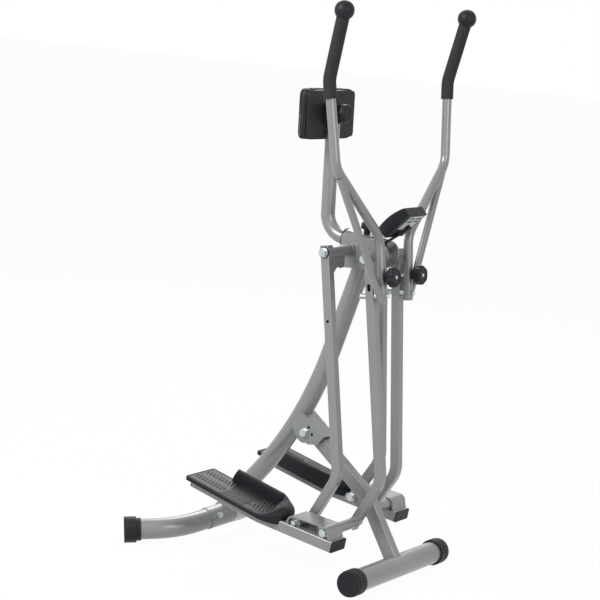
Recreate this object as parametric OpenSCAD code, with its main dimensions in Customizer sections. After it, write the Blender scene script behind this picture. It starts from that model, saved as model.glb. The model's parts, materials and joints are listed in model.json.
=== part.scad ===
// Cross trainer (air walker): two walking sides that swing on a hub, a bent main tube with a
// folding front leg, two splayed rear legs, a console and a belly pad on a bent post.
// Millimetres. +Z is up, the user faces -Y, +X is the user's left.
// The origin is on the floor, under the middle of the part.
// Places are measured from the front foot, in axes that lean by floor_tilt against the floor.

/* [Front stand] */
// Diameter of the front and rear foot tubes
foot_tube_d = 60; // [50:1:70]
// Length of the front foot over its caps
foot_span = 474; // [420:2:560]
// Outer diameter of a front foot cap
foot_cap_d = 70; // [66:1:90]
// Length of a front foot cap
foot_cap_length = 40; // [30:1:60]
// Number of grip flutes round a front foot cap
flute_count = 28; // [16:1:36]
// Depth of the front leg tube, front to back
leg_depth = 38; // [30:1:44]
// Width of the front leg tube
leg_width = 30; // [24:1:36]
// Lean of the lower part of the front leg
leg_foot_lean = 26; // [20:1:32]

/* [Rear stand] */
// Slope of the floor against the frame's own axes
floor_tilt = 5.73; // [5.5:0.01:6]
// Diameter of a rear leg
rear_tube_d = 56; // [50:1:60]
// Diameter of the sleeves that hold the rear legs
rear_sleeve_d = 60; // [59.6:0.2:64]
// Length of a sleeve from the middle plane
rear_sleeve_length = 79; // [74:1:90]
// Distance of the sleeves' crossing behind the front foot
cross_y = 532.5; // [520:0.1:540]
// Height of the sleeves' crossing
cross_z = 127; // [120:0.1:140]
// Distance of a rear leg's bend from the middle plane
rear_bend_x = 170.6; // [160:0.1:180]
// Distance of a rear leg's bend behind the front foot
rear_bend_y = 581.4; // [570:0.1:595]
// Height of a rear leg's bend
rear_bend_z = 106.2; // [100:0.1:112]
// Distance of a rear cap's middle from the middle plane
rear_end_x = 250; // [240:0.1:260]
// Distance of a rear cap's middle behind the front foot
rear_end_y = 683.1; // [670:0.1:700]
// Height of a rear cap's middle
rear_end_z = 105.1; // [100:0.1:110]
// Diameter of a rear foot cap
rear_cap_d = 71; // [68:1:80]

/* [Frame] */
// Diameter of the main tube
main_d = 50; // [42:1:54]
// Wall of the round and square tubes
tube_wall = 2; // [1.5:0.1:2.5]
// Lean of the main tube at the hub
main_top_lean = 22.7; // [21:0.1:24]
// Lean of the main tube at its foot
main_foot_lean = 46.3; // [45:0.1:48]
// Distance of the main tube's end behind the front foot
main_foot_y = 551.9; // [544:0.1:560]
// Height of the main tube's end
main_foot_z = 132.8; // [126:0.1:140]
// Bend radius of the main tube
main_bend_r = 1060; // [900:10:1150]
// Thickness of a hub plate
hub_plate_t = 6; // [4:0.5:8]
// Radius of the round front end of the hub
hub_nose_r = 38; // [34:1:42]
// Distance of the fold hinge behind the front foot
fold_y = 263; // [258:1:268]
// Height of the fold hinge
fold_z = 375; // [370:1:380]

/* [Walking sides] */
// Distance of the front pivots behind the front foot
pivot_y = 31.8; // [28:0.2:36]
// Height of the front pivots
pivot_z = 853.6; // [840:0.2:870]
// Distance from the front pivot back to the rear pivot
pivot_gap = 88.5; // [84:0.5:96]
// Rise from the front pivot to the rear pivot
pivot_rise = 17.5; // [14:0.5:20]
// Swing of the right side in the pose shown, forward negative
right_swing = -3.1; // [-6:0.1:6]
// Swing of the left side in the pose shown, forward negative
left_swing = 0.5; // [-6:0.1:6]
// Side of the square arm tube
arm_size = 25; // [20:1:28]
// Distance of the front arms from the middle plane
front_arm_x = 72; // [70:0.5:76]
// Distance of the rear arms from the middle plane
rear_arm_x = 140; // [134:1:146]
// Drop from an arm's pivot to its bend
arm_bend_drop = 582; // [560:1:600]
// Drop from an arm's pivot to its low pivot
low_drop = 692; // [680:1:710]
// Reach of an arm's low pivot behind its pivot
low_reach = 84; // [76:1:92]

/* [Pedals] */
// Distance of a pedal's middle from the middle plane
pedal_x = 202; // [200:1:215]
// Width of a pedal
pedal_width = 130; // [116:1:134]
// Width of a pedal rail
rail_width = 70; // [60:1:76]
// Height of a pedal rail
rail_height = 30; // [24:1:34]
// Slope of the front part of a pedal rail
rail_front_slope = 14; // [12:0.5:15]
// Slope of the rear part of a pedal rail
rail_rear_slope = 19.7; // [17:0.1:22]
// Height of the inner guard above the pedal
guard_height = 34; // [20:1:45]

/* [Handlebars] */
// Diameter of a handlebar tube
bar_d = 25; // [22:0.5:28]
// Distance of a grip from the middle plane
grip_x = 279; // [260:1:300]
// Height of the lower bend above the front pivot
bar_low_bend = 54; // [44:1:64]
// Height of the upper bend above the front pivot
bar_high_bend = 236; // [220:1:260]
// Height of the grip bend above the front pivot
grip_bend = 456; // [440:1:480]
// Height of the handlebar end above the front pivot
bar_top = 606; // [580:1:620]
// Diameter of the foam grip
grip_d = 33; // [30:1:38]
// Radius of the end ball
ball_r = 25; // [20:1:28]
// Diameter of a hand knob
knob_d = 51; // [40:1:56]

/* [Belly pad] */
// Diameter of the pad post
post_d = 38; // [32:1:40]
// Slope of the post inside the hub
post_slope = 12; // [10:1:14]
// Lean of the upright part of the post
post_lean = 4; // [2:0.5:6]
// Width of the pad
pad_width = 240; // [200:2:250]
// Height of the pad
pad_height = 134; // [110:2:150]
// Thickness of the pad cushion
pad_thickness = 26; // [16:1:28]
// Height of the pad's middle above the floor
pad_z = 1224; // [1215:1:1232]

/* [Console] */
// Width of the console
console_width = 92; // [80:1:100]
// Length of the console
console_length = 94; // [84:1:104]
// Slope of the console
console_slope = 38.5; // [34:0.5:44]

/* [Hidden] */
$fn = 48;

// Colours
paint = [0.60, 0.61, 0.60];
black = [0.10, 0.11, 0.12];
vinyl = [0.13, 0.13, 0.14];
zinc = [0.78, 0.82, 0.84];
grey = [0.72, 0.73, 0.72];
smoke = [0.25, 0.30, 0.32];

// Clearances: a fit between fixed parts, a running fit, and the gap beside a moving part
fit = 0.1;
run_fit = 0.05;
side_gap = 0.3;
// How far a cutting solid passes a face
past = 1;
// How far a straight stretch of tube runs into its bend, and how much thinner the bend is
bend_lap = 0.5;
bend_thin = 0.02;

// Sides
RIGHT = -1;
LEFT = 1;

// Functions on vectors and directions, in the Y-Z plane unless they say 3-D
function unit(v) = v / norm(v);
function turned(v, angle) = [v[0] * cos(angle) - v[1] * sin(angle),
                             v[0] * sin(angle) + v[1] * cos(angle)];
// 3-D point from a place in the Y-Z plane
function in_plane(v, x = 0) = [x, v[0], v[1]];
function in_planes(list, x = 0) = [for (v = list) in_plane(v, x)];
// Crossing of two lines, each a point and a direction
function crossing(p, u, q, v) = let (d = u[0] * v[1] - u[1] * v[0], w = q - p)
    p + u * ((w[0] * v[1] - w[1] * v[0]) / d);
// Angle between two directions, and the length that a bend takes from each side
function turn(path, i) = acos(unit(path[i] - path[i - 1]) * unit(path[i + 1] - path[i]));
function setback(path, bends, i) = (i == 0 || i == len(path) - 1) ? 0
    : bends[i - 1] * tan(turn(path, i) / 2);

// Frame places, from the front foot back and from the floor up
foot_r = foot_tube_d / 2;
foot_z = foot_cap_d / 2;
rear_sleeve_r = rear_sleeve_d / 2;
rear_tube_r = rear_tube_d / 2;
rear_cap_r = rear_cap_d / 2;
cross_at = [0, cross_y, cross_z];
rear_bend = [rear_bend_x, rear_bend_y, rear_bend_z];
rear_end = [rear_end_x, rear_end_y, rear_end_z];
rear_bend_r = 200;
rear_cap_length = 33;
rear_collar_length = 13;
rear_collar_wall = 3;
rear_cap_wall = 4;
foot_bolt_r = 4;
foot_bolt_back = 26;
foot_bolt_rise = 15;

// Main tube: its upper line passes near the pivots and its lower line rests on the sleeves
main_r = main_d / 2;
main_upper_dir = [sin(main_top_lean), -cos(main_top_lean)];
main_lower_dir = [sin(main_foot_lean), -cos(main_foot_lean)];
main_from_pivot = [83, -67.6];
main_above_pass = 112;
main_pass = [pivot_y, pivot_z] + main_from_pivot;
main_foot = [main_foot_y, main_foot_z];
main_vertex = crossing(main_pass, main_upper_dir, main_foot, main_lower_dir);
main_head = main_pass - main_upper_dir * main_above_pass;

// Hub
hub_in = main_r;
hub_out = hub_in + hub_plate_t;
boss_t = 5;
boss_out = hub_out + boss_t;
axle_r = 8;
hub_nose = [pivot_y + 9.2, pivot_z + 6.4];
rear_pivot = [pivot_y + pivot_gap, pivot_z + pivot_rise];
hub_back = rear_pivot[0] + 23.7;
hub_top = rear_pivot[1] + 41;
hub_bottom = pivot_z - 30;
hub_round = 15;

// Pad post, its guide in the hub and the pad, from the post's axis back
post_r = post_d / 2;
post_dir = [cos(post_slope), sin(post_slope)];
post_mouth = [hub_back + 2, rear_pivot[1] + 27.5];
post_up_dir = [-sin(post_lean), cos(post_lean)];
guide_wall = 3;
guide_r = main_r;
guide_length = 82;
bush_flange_t = 3;
bush_flange_r = guide_r + 1.5;
post_inside = 92;
lock_depth = 58;
post_corner = post_mouth + post_dir * 62;
post_bend_r = 62;
pad_rise = (pad_z - post_corner[1]) / cos(post_lean);
pad_at = post_corner + post_up_dir * pad_rise;
sleeve_wall = 3.5;
sleeve_r = post_r + fit + sleeve_wall;
sleeve_below = 24;
sleeve_above = 27;
sleeve_top_t = 3;
board_y = 6;
board_t = 7;
wing_t = 4;
wing_half = 40;
cushion_y = board_y + board_t + side_gap;
pad_knob_z = 4;
pad_knob_d = 49;
lock_knob_d = 38;

// Folding front leg
fold_at = [fold_y, fold_z];
leg_lean = 46.5;
leg_offset = 8;
leg_up_dir = [sin(leg_lean), cos(leg_lean)];
leg_front = [-cos(leg_lean), sin(leg_lean)];
leg_head_mid = fold_at + leg_front * leg_offset;
leg_low_dir = [sin(leg_foot_lean), cos(leg_foot_lean)];
leg_foot = [-4, foot_z];
leg_vertex = crossing(leg_head_mid, leg_up_dir, leg_foot, leg_low_dir);
leg_head = leg_head_mid + leg_up_dir * 18;
leg_bend_r = 110;
leg_round = 5;
fold_r = 6;
bracket_t = 3;
bracket_web = 33;
bracket_nose_r = 29;
pin_r = 4;
pin_reach = 20;
pin_knob_r = 7.5;
pin_tip = 5;
slot_from = 4;
slot_r = pin_r + side_gap;
fold_range = 70;
function leg_place(along, front) = fold_at + leg_up_dir * along + leg_front * front;

// Walking sides: plates across X at one side
arm_half = arm_size / 2;
arm_wall = 1.8;
arm_round = 3;
arm_bend_r = 70;
arm_above = 17.5;
low_past = 15;
end_plate_t = 1.5;
sleeve_out_r = 15;
bush_wall = 4;
bush_length = 20;
bush_flange = 1.5;
sleeve_in = boss_out + side_gap + bush_flange;
front_sleeve_end = 96.5;
rear_sleeve_end = rear_arm_x + arm_half;
low_pin_r = 6;
low_sleeve_r = 14;
low = [low_reach, -low_drop];
low_dir = unit([low_reach, arm_bend_drop - low_drop]);
rail_in = pedal_x - rail_width / 2;
rail_out = pedal_x + rail_width / 2;
washer_t = 2.5;
head_t = 7;
hoop_bush_in = rail_in - 0.7;
hoop_bush_out = rail_out - 11;
low_sleeve_end = hoop_bush_in - side_gap;

// Handlebar, across X and along Y and Z from the front pivot
bar_r = bar_d / 2;
bar_wall = 1.5;
saddle_t = 7;
saddle_r = 10;
bar_y = -(arm_half + saddle_t + bar_r);
bar_end = [grip_x + 2.5, bar_y - 50, bar_top];
bar_path = [[front_arm_x, bar_y, -118], [front_arm_x, bar_y, bar_low_bend],
            [grip_x - 11, bar_y, bar_high_bend], [grip_x, bar_y, grip_bend], bar_end];
bar_bends = [60, 60, 80];
bar_end_dir = unit(bar_path[4] - bar_path[3]);
grip_dir = unit(bar_path[3] - bar_path[2]);
grip_start = bar_path[3] - grip_dir * 47;
brace_r = 10;
brace_top = [grip_x - 27, bar_y, bar_high_bend - 24];
brace_foot = [front_arm_x + 5.7, bar_y, -112];
knob_z = -50;
bolt_z = -98;
stem_r = 4;
knob_stand = 12;
knob_length = 22;
bolt_spacer = 13;

// Pedal, from the front low pivot
rail_drop = 12;
rail_wall = 2;
rail_round = 4;
rail_front_dir = [cos(rail_front_slope), sin(rail_front_slope)];
rail_front_up = [-sin(rail_front_slope), cos(rail_front_slope)];
rail_rear_dir = [cos(rail_rear_slope), sin(rail_rear_slope)];
rail_mid_at = -rail_front_up * (rail_drop + rail_height / 2);
rail_start = rail_mid_at - rail_front_dir * 33;
rail_corner = rail_mid_at + rail_front_dir * 204;
rail_rear_length = 213;
rail_end = rail_corner + rail_rear_dir * rail_rear_length;
rail_bend_r = 300;
cap_t = 3;
pedal_t = 6;
pedal_skirt = 11;
pedal_length = 245;
pedal_front = rail_rear_length - pedal_length;
toe_reach = 58;
toe_r = 22;
toe_height = 34;
toe_wall = 14;
pedal_past = 8;
guard_t = 5;
guard_length = 170;
rear_low = [pivot_gap, pivot_rise];
rear_low_drop = rail_drop + rear_low * rail_front_up;
hoop_t = 4;
hoop_in_r = sleeve_out_r - 0.4;
hoop_out_r = hoop_in_r + hoop_t;

// Console, from its low rear corner: Y along its length, up and forward, and Z square to it
console_at = [pivot_y - 29.3, pivot_z + 52.4];
console_dir = [-cos(console_slope), sin(console_slope)];
console_up = [sin(console_slope), cos(console_slope)];
console_base_t = 9;
console_wall = 2.2;
console_rear = [8, 33];
console_front = [console_length, 25];
console_arch = 6;
arch_chord = norm(console_front - console_rear);
arch_r = (arch_chord * arch_chord / 4 + console_arch * console_arch) / (2 * console_arch);
arch_dir = unit(console_front - console_rear);
arch_mid = (console_rear + console_front) / 2 - [-arch_dir[1], arch_dir[0]] * (arch_r - console_arch);
screen_t = 1.5;
screen_width = 66;
screen_from = 34;
screen_to = 84;
button_at = 21;
button_r = 7;
button_flange = 1.5;
button_gap = 0.4;
strap_t = 4;
strap_width = 16;
strap_start = [pivot_y + 14, pivot_z + 29];
stub_at = 49;
stub_length = 10;
stub_r = 7;

// The part's middle, front to back: from the front foot caps to the rear foot caps
ball_stand = 17;
ball_seat = 3;
function levelled(v) = [v[0], v[1] * cos(floor_tilt) + v[2] * sin(floor_tilt),
                        v[2] * cos(floor_tilt) - v[1] * sin(floor_tilt)];
rear_out = levelled(unit(rear_end - rear_bend));
rear_most = levelled(rear_end - [0, 0, foot_z])[1] + rear_out[1] * rear_cap_length / 2
    + rear_cap_r * sqrt(1 - rear_out[1] * rear_out[1]);
middle_y = (rear_most - foot_z) / 2;

// Places that the pieces share

// The part's own frame, from the front foot and the middle plane, put level on the floor
module about_foot(angle) { translate([0, 0, foot_z]) rotate([angle, 0, 0]) translate([0, 0, -foot_z]) children(); }
module in_place() { translate([0, -middle_y, 0]) about_foot(-floor_tilt) children(); }
// The floor's own frame, inside the one above
module on_floor() { about_foot(floor_tilt) children(); }

// A frame with Z along a direction and Y along another
module aligned(at, along, across) {
    z = unit(along);
    x = unit(cross(across, z));
    y = cross(z, x);
    multmatrix([[x[0], y[0], z[0], at[0]], [x[1], y[1], z[1], at[1]],
                [x[2], y[2], z[2], at[2]], [0, 0, 0, 1]]) children();
}

// A profile carried along a path with round bends: X of the profile lies in the bend's plane.
// A straight stretch runs a little into its bends, whose profile is thinner by a hair.
module sweep(path, bends, plane = [1, 0, 0]) {
    last = len(path) - 1;
    for (i = [0 : last - 1]) {
        along = unit(path[i + 1] - path[i]);
        start = path[i] + along * (setback(path, bends, i) - (i == 0 ? 0 : bend_lap));
        finish = path[i + 1] - along * (setback(path, bends, i + 1) - (i + 1 == last ? 0 : bend_lap));
        $thin = 0;
        aligned(start, along, plane) linear_extrude(norm(finish - start)) children();
    }
    for (i = [1 : 1 : last - 1]) {
        a = unit(path[i] - path[i - 1]);
        n = unit(cross(a, path[i + 1] - path[i]));
        m = cross(n, a);
        c = path[i] - a * setback(path, bends, i) + m * bends[i - 1];
        $thin = bend_thin;
        multmatrix([[-m[0], a[0], n[0], c[0]], [-m[1], a[1], n[1], c[1]],
                    [-m[2], a[2], n[2], c[2]], [0, 0, 0, 1]])
            rotate_extrude(angle = turn(path, i)) translate([bends[i - 1], 0]) children();
    }
}

// A rectangle with round corners
module rounded(size, r) {
    square([size[0] - 2 * r, size[1]], center = true);
    square([size[0], size[1] - 2 * r], center = true);
    for (x = [-1, 1], y = [-1, 1])
        translate([x * (size[0] / 2 - r), y * (size[1] / 2 - r)]) circle(r);
}

// Profiles of a bar, a round tube and a rectangular tube
module bar(r) { circle(r - $thin); }
module pipe(r, wall) {
    difference() {
        circle(r - $thin);
        circle(r - wall + $thin);
    }
}
module box_tube(size, r, wall) {
    difference() {
        rounded(size - [2, 2] * $thin, r);
        rounded(size - [2, 2] * (wall - $thin), r / 2);
    }
}

// A cylinder along X between two places, and a tube along X
module across(x1, x2, r) { translate([min(x1, x2), 0, 0]) rotate([0, 90, 0]) cylinder(abs(x2 - x1), r, r); }
module across_tube(x1, x2, r, bore) {
    difference() {
        across(x1, x2, r);
        across(min(x1, x2) - past, max(x1, x2) + past, bore);
    }
}

// A flat shape in the Y-Z plane, as thick as the stretch of X given
module plate(x1, x2) {
    translate([min(x1, x2), 0, 0]) rotate([90, 0, 90]) linear_extrude(abs(x2 - x1)) children();
}

// Moves to a place in the Y-Z plane
module at(v) { translate([0, v[0], v[1]]) children(); }

// Mirrors a left piece to the right
module on_side(side) {
    if (side == RIGHT) mirror([1, 0, 0]) children();
    else children();
}

// The frames of the walking sides
function swing(side) = side == RIGHT ? right_swing : left_swing;
function low_at(side) = [pivot_y, pivot_z] + turned(low, swing(side));
module on_front_arm(side) {
    in_place() at([pivot_y, pivot_z]) rotate([swing(side), 0, 0]) on_side(side) children();
}
module on_rear_arm(side) {
    in_place() at(rear_pivot) rotate([swing(side), 0, 0]) on_side(side) children();
}
module on_pedal(side) { in_place() at(low_at(side)) on_side(side) children(); }

// Fasteners: a hexagon head, a round cap nut and a washer, standing on Z = 0
module hex_head(width, height) { cylinder(height, d = width / cos(30), $fn = 6); }
module cap_nut(width, height) {
    hex_head(width, height / 2);
    intersection() {
        translate([0, 0, height - width / 2]) sphere(width / 2);
        translate([-width, -width, height / 2]) cube([2 * width, 2 * width, height]);
    }
}
module washer(r, bore, height) {
    difference() {
        cylinder(height, r, r);
        translate([0, 0, -past]) cylinder(height + 2 * past, bore, bore);
    }
}
// The same, turned to stand outwards along X
module outward(x) { translate([x, 0, 0]) rotate([0, 90, 0]) children(); }
module inward(x) { translate([x, 0, 0]) rotate([0, -90, 0]) children(); }

// Frame pieces

module main_tube() {
    color(paint) in_place() difference() {
        union() {
            sweep(in_planes([main_head, main_vertex, main_foot]), [main_bend_r]) pipe(main_r, tube_wall);
            aligned(in_plane(main_foot), in_plane(-main_lower_dir), [1, 0, 0]) translate([0, 0, 1])
                cylinder(end_plate_t, main_r - 1, main_r - 1);
        }
        guide_space();
        rear_sides() rear_sleeve_bar(rear_sleeve_r);
    }
}

// What the guide takes from the main tube
module guide_space() {
    aligned(in_plane(post_mouth + post_dir * 30), in_plane(-post_dir), [1, 0, 0])
        cylinder(guide_length + 130, guide_r, guide_r);
    at(post_mouth - post_dir * 60) rotate([post_slope, 0, 0])
        translate([-main_d, -150, -0.2]) cube([2 * main_d, 300, 120]);
}
module hub_outline() {
    translate(hub_nose) circle(hub_nose_r);
    translate([hub_back - hub_round, hub_top - hub_round]) circle(hub_round);
    polygon([hub_nose - [0, hub_nose_r], [hub_back, hub_bottom],
             [hub_back, hub_top - hub_round], [hub_back - hub_round, hub_top],
             [hub_nose[0] + 54, hub_top - 1], hub_nose + [-6, hub_nose_r - 0.5]]);
}

module hub_plates() {
    color(paint) in_place() for (side = [RIGHT, LEFT]) on_side(side) difference() {
        union() {
            plate(hub_in, hub_out) hub_outline();
            at([pivot_y, pivot_z]) across(hub_out, boss_out, 20);
            at(rear_pivot) across(hub_out, boss_out, 20);
        }
        at([pivot_y, pivot_z]) across(0, boss_out + past, axle_r + fit);
        at(rear_pivot) across(0, boss_out + past, axle_r + fit);
    }
}

// The guide's frame: Z runs into the hub from the guide's mouth
module guide_frame() { aligned(in_plane(post_mouth), in_plane(-post_dir), [1, 0, 0]) children(); }

module post_guide() {
    color(paint) in_place() guide_frame() difference() {
        cylinder(guide_length, guide_r, guide_r);
        translate([0, 0, -past]) cylinder(guide_length + 2 * past, guide_r - guide_wall, guide_r - guide_wall);
        lock_hole();
    }
}
// The lock screw's way in, square to the post, from above
module lock_hole() {
    translate([0, 0, lock_depth]) rotate([0, -90, 0]) cylinder(60, stem_r + fit, stem_r + fit);
}

module post_bush() {
    color(black) in_place() guide_frame() difference() {
        union() {
            translate([0, 0, -bush_flange_t]) cylinder(bush_flange_t, bush_flange_r, bush_flange_r);
            cylinder(guide_length, guide_r - guide_wall - fit, guide_r - guide_wall - fit);
        }
        translate([0, 0, -bush_flange_t - past])
            cylinder(guide_length + 2 * bush_flange_t, post_r + side_gap, post_r + side_gap);
        lock_hole();
    }
}

module front_axle() {
    reach = front_sleeve_end + bush_flange + side_gap + washer_t;
    color(zinc) in_place() at([pivot_y, pivot_z]) {
        across(-reach, reach, axle_r);
        for (side = [RIGHT, LEFT]) on_side(side) outward(reach) hex_head(19, head_t);
    }
}

module axle_spacer() {
    color(paint) in_place() at([pivot_y, pivot_z]) across_tube(-hub_in, hub_in, 11, axle_r + fit);
}

module rear_axles() {
    color(zinc) in_place() at(rear_pivot) for (side = [RIGHT, LEFT]) on_side(side) {
        across(hub_in, rear_sleeve_end + bush_flange + side_gap + washer_t, axle_r);
    }
}

module axle_bolts() {
    front_reach = front_sleeve_end + bush_flange + side_gap;
    rear_reach = rear_sleeve_end + bush_flange + side_gap;
    color(zinc) in_place() for (side = [RIGHT, LEFT]) on_side(side) {
        at([pivot_y, pivot_z]) outward(front_reach) washer(13, axle_r + fit, washer_t);
        at(rear_pivot) outward(rear_reach) washer(13, axle_r + fit, washer_t);
        at(rear_pivot) outward(rear_reach + washer_t) hex_head(19, head_t);
    }
}

// Both rear legs: the left one and its mirror image
module rear_sides() { for (side = [RIGHT, LEFT]) on_side(side) children(); }

// A bar along a sleeve's axis from the middle plane
module rear_sleeve_bar(r) {
    difference() {
        aligned(cross_at, rear_bend - cross_at, [0, 0, 1]) translate([0, 0, -r])
            cylinder(rear_sleeve_length + r, r, r);
        translate([-2 * r, cross_y - 2 * r, cross_z - 2 * r]) cube([2 * r, 4 * r, 4 * r]);
    }
}

module rear_sleeve() {
    color(paint) in_place() difference() {
        rear_sides() rear_sleeve_bar(rear_sleeve_r);
        rear_sides() aligned(cross_at, rear_bend - cross_at, [0, 0, 1]) translate([0, 0, rear_tube_r])
            cylinder(rear_sleeve_length, rear_tube_r + fit, rear_tube_r + fit);
        rear_sides() foot_bolt_hole();
    }
}
// A rear bolt's frame: Z runs out of the sleeve, forward and up, and Y along it
module foot_bolt_frame() {
    along = unit(rear_bend - cross_at);
    level = unit(cross(along, [0, 0, 1]));
    up = cross(level, along);
    aligned(cross_at + along * (rear_sleeve_length - foot_bolt_back),
            cos(foot_bolt_rise) * level + sin(foot_bolt_rise) * up, along) children();
}
module foot_bolt_hole() {
    foot_bolt_frame() cylinder(rear_sleeve_r + past, foot_bolt_r + fit, foot_bolt_r + fit);
}

module rear_legs() {
    start = cross_at + unit(rear_bend - cross_at) * (rear_tube_r + 2);
    finish = rear_end + unit(rear_end - rear_bend) * (rear_cap_length / 2 - rear_cap_wall);
    color(paint) in_place() rear_sides() difference() {
        sweep([start, rear_bend, finish], [rear_bend_r], [0, 0, 1]) pipe(rear_tube_r, tube_wall);
        foot_bolt_hole();
    }
}

module rear_foot_caps() {
    out = unit(rear_end - rear_bend);
    color(black) in_place() difference() {
        rear_sides() aligned(rear_end + out * rear_cap_length / 2, -out, [0, 0, 1]) difference() {
            union() {
                cylinder(rear_cap_length, rear_cap_r, rear_cap_r);
                cylinder(rear_cap_length + rear_collar_length, rear_tube_r + rear_collar_wall,
                         rear_tube_r + rear_collar_wall);
            }
            translate([0, 0, rear_cap_wall])
                cylinder(rear_cap_length + rear_collar_length, rear_tube_r + fit, rear_tube_r + fit);
        }
        // Cut flat where the caps stand
        on_floor() translate([-2 * rear_end_x, 0, -rear_cap_d]) cube([4 * rear_end_x, 2 * rear_end_y, rear_cap_d]);
    }
}

module rear_foot_bolts() {
    color(zinc) in_place() rear_sides() foot_bolt_frame() {
        translate([0, 0, rear_tube_r - 8]) cylinder(rear_sleeve_r - rear_tube_r + 11, foot_bolt_r, foot_bolt_r);
        translate([0, 0, rear_sleeve_r + 2]) hex_head(13, 5);
        difference() {
            translate([0, 0, rear_sleeve_r - 5]) cylinder(7.5, 9, 9);
            rotate([90, 0, 0]) cylinder(4 * rear_sleeve_r, rear_sleeve_r, rear_sleeve_r, center = true);
        }
    }
}

// Folding front leg and its bracket

// The plates that lap the main tube's sides, and the web that joins them in front
module bracket_outline() {
    translate(fold_at) circle(bracket_nose_r);
    polygon([leg_place(41, bracket_web + bracket_t), leg_place(-50, bracket_web + bracket_t),
             leg_place(-50, 6), leg_place(-30, -16), leg_place(20, -bracket_nose_r + 6),
             leg_place(48, -18), leg_place(47, 14)]);
}

module fold_bracket() {
    color(paint) in_place() {
        for (side = [RIGHT, LEFT]) on_side(side) difference() {
            plate(main_r, main_r + bracket_t) bracket_outline();
            at(fold_at) across(0, 60, fold_r + fit);
            at(leg_place(0, pin_reach)) across(0, 60, pin_r + fit);
            at(leg_place(-pin_reach, 13.6)) across(0, 60, pin_r + fit);
        }
        difference() {
            plate(-main_r, main_r) polygon([leg_place(60, bracket_web), leg_place(60, bracket_web + bracket_t),
                leg_place(-50, bracket_web + bracket_t), leg_place(-50, bracket_web)]);
            sweep(in_planes([main_head, main_vertex, main_foot]), [main_bend_r]) bar(main_r);
        }
    }
}

module fold_pivot() {
    reach = main_r + bracket_t + washer_t;
    color(zinc) in_place() at(fold_at) {
        across(-reach, reach, fold_r);
        for (side = [RIGHT, LEFT]) on_side(side) {
            outward(reach) hex_head(19, head_t);
            outward(reach - washer_t) washer(12, fold_r - 1, washer_t);
        }
    }
}

module front_leg() {
    color(paint) in_place() difference() {
        union() {
            sweep(in_planes([leg_foot, leg_vertex, leg_head]), [leg_bend_r])
                box_tube([leg_depth, leg_width], leg_round, tube_wall);
            at(fold_at) across(-main_r + side_gap, main_r - side_gap, 11);
        }
        at([0, foot_z]) across(-leg_width, leg_width, foot_r);
        at(fold_at) across(-main_r - past, main_r + past, fold_r + run_fit);
        // Slot round the fold pivot that the lock pin stands in
        at(fold_at) translate([slot_from, 0, 0]) rotate([90, 0, 90])
            rotate(180 - leg_lean - fold_range) {
                rotate_extrude(angle = fold_range) translate([pin_reach - slot_r, 0])
                    square([2 * slot_r, main_d]);
                for (angle = [0, fold_range]) rotate(angle) translate([pin_reach, 0, 0])
                    cylinder(main_d, slot_r, slot_r);
            }
    }
}

module lock_pin() {
    color(zinc) in_place() at(leg_place(0, pin_reach)) {
        across(pin_tip, main_r + bracket_t + side_gap + 4, pin_r);
        outward(main_r + bracket_t + side_gap) cylinder(18, pin_knob_r, pin_knob_r);
    }
}

cap_wall = 5;
module front_foot_tube() {
    reach = foot_span / 2 - cap_wall;
    color(paint) in_place() at([0, foot_z]) across_tube(-reach, reach, foot_r, foot_r - tube_wall);
}

module front_foot_caps() {
    end_length = 7;
    end_r = foot_cap_d / 2 - 1.5;
    flute_r = 2.5;
    color(black) in_place() for (side = [RIGHT, LEFT]) on_side(side)
        at([0, foot_z]) outward(foot_span / 2 - foot_cap_length) difference() {
            union() {
                linear_extrude(foot_cap_length - end_length) difference() {
                    circle(foot_cap_d / 2);
                    for (i = [0 : flute_count - 1]) rotate((i + 0.5) * 360 / flute_count + floor_tilt)
                        translate([foot_cap_d / 2 + 1, 0]) circle(flute_r);
                }
                cylinder(foot_cap_length, end_r, end_r);
            }
            translate([0, 0, -past]) cylinder(foot_cap_length - cap_wall + past, foot_r + fit, foot_r + fit);
        }
}

// Console: its frame has Y along the case, forward and up, and Z towards the user

module console_frame() {
    multmatrix([[-1, 0, 0, 0], [0, console_dir[0], console_up[0], console_at[0]],
                [0, console_dir[1], console_up[1], console_at[1]], [0, 0, 0, 1]]) children();
}

module console_bracket() {
    color(black) in_place() {
        strap_end = console_at + console_dir * (stub_at + 6) - console_up * stub_length;
        along = unit(strap_end - strap_start);
        up = [along[1], -along[0]];
        plate(-strap_width / 2, strap_width / 2) polygon([strap_start, strap_end,
            strap_end - up * strap_t, strap_start - up * strap_t]);
        at(strap_start) translate([-main_r, -7, -9]) cube([2 * main_r, 14, 14]);
        console_frame() translate([0, stub_at, -stub_length - 2]) cylinder(stub_length + 2, stub_r, stub_r);
    }
}

// Side outline of the console, less a margin on every side but the cut below
module console_outline(from, margin) {
    intersection() {
        polygon([[margin, from], [console_length - margin, from], [console_length - margin, 60],
                 [console_rear[0] + margin, 60], [margin, 12]]);
        translate(arch_mid) circle(arch_r - margin, $fn = 240);
    }
}
module console_slab(half, from, margin) {
    rotate([90, 0, 90]) translate([0, 0, -half]) linear_extrude(2 * half) console_outline(from, margin);
}

module console_case() {
    half = console_width / 2;
    color(black) in_place() console_frame() difference() {
        console_slab(half, console_base_t, 0);
        console_slab(half - console_wall, console_base_t - past, console_wall);
        screen_space(0);
        translate([0, button_at, 0]) cylinder(80, button_r + button_gap, button_r + button_gap);
        translate([-screen_width / 2 + 4, screen_from + 4, 0])
            cube([screen_width - 8, screen_to - screen_from - 8, 80]);
    }
}

// The place of the screen in the arched top
module screen_space(margin) {
    difference() {
        translate([-screen_width / 2 + margin, screen_from + margin, 20])
            cube([screen_width - 2 * margin, screen_to - screen_from - 2 * margin, 60]);
        translate([0, arch_mid[0], arch_mid[1]])
            across(-screen_width, screen_width, arch_r - screen_t, $fn = 240);
    }
}

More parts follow.
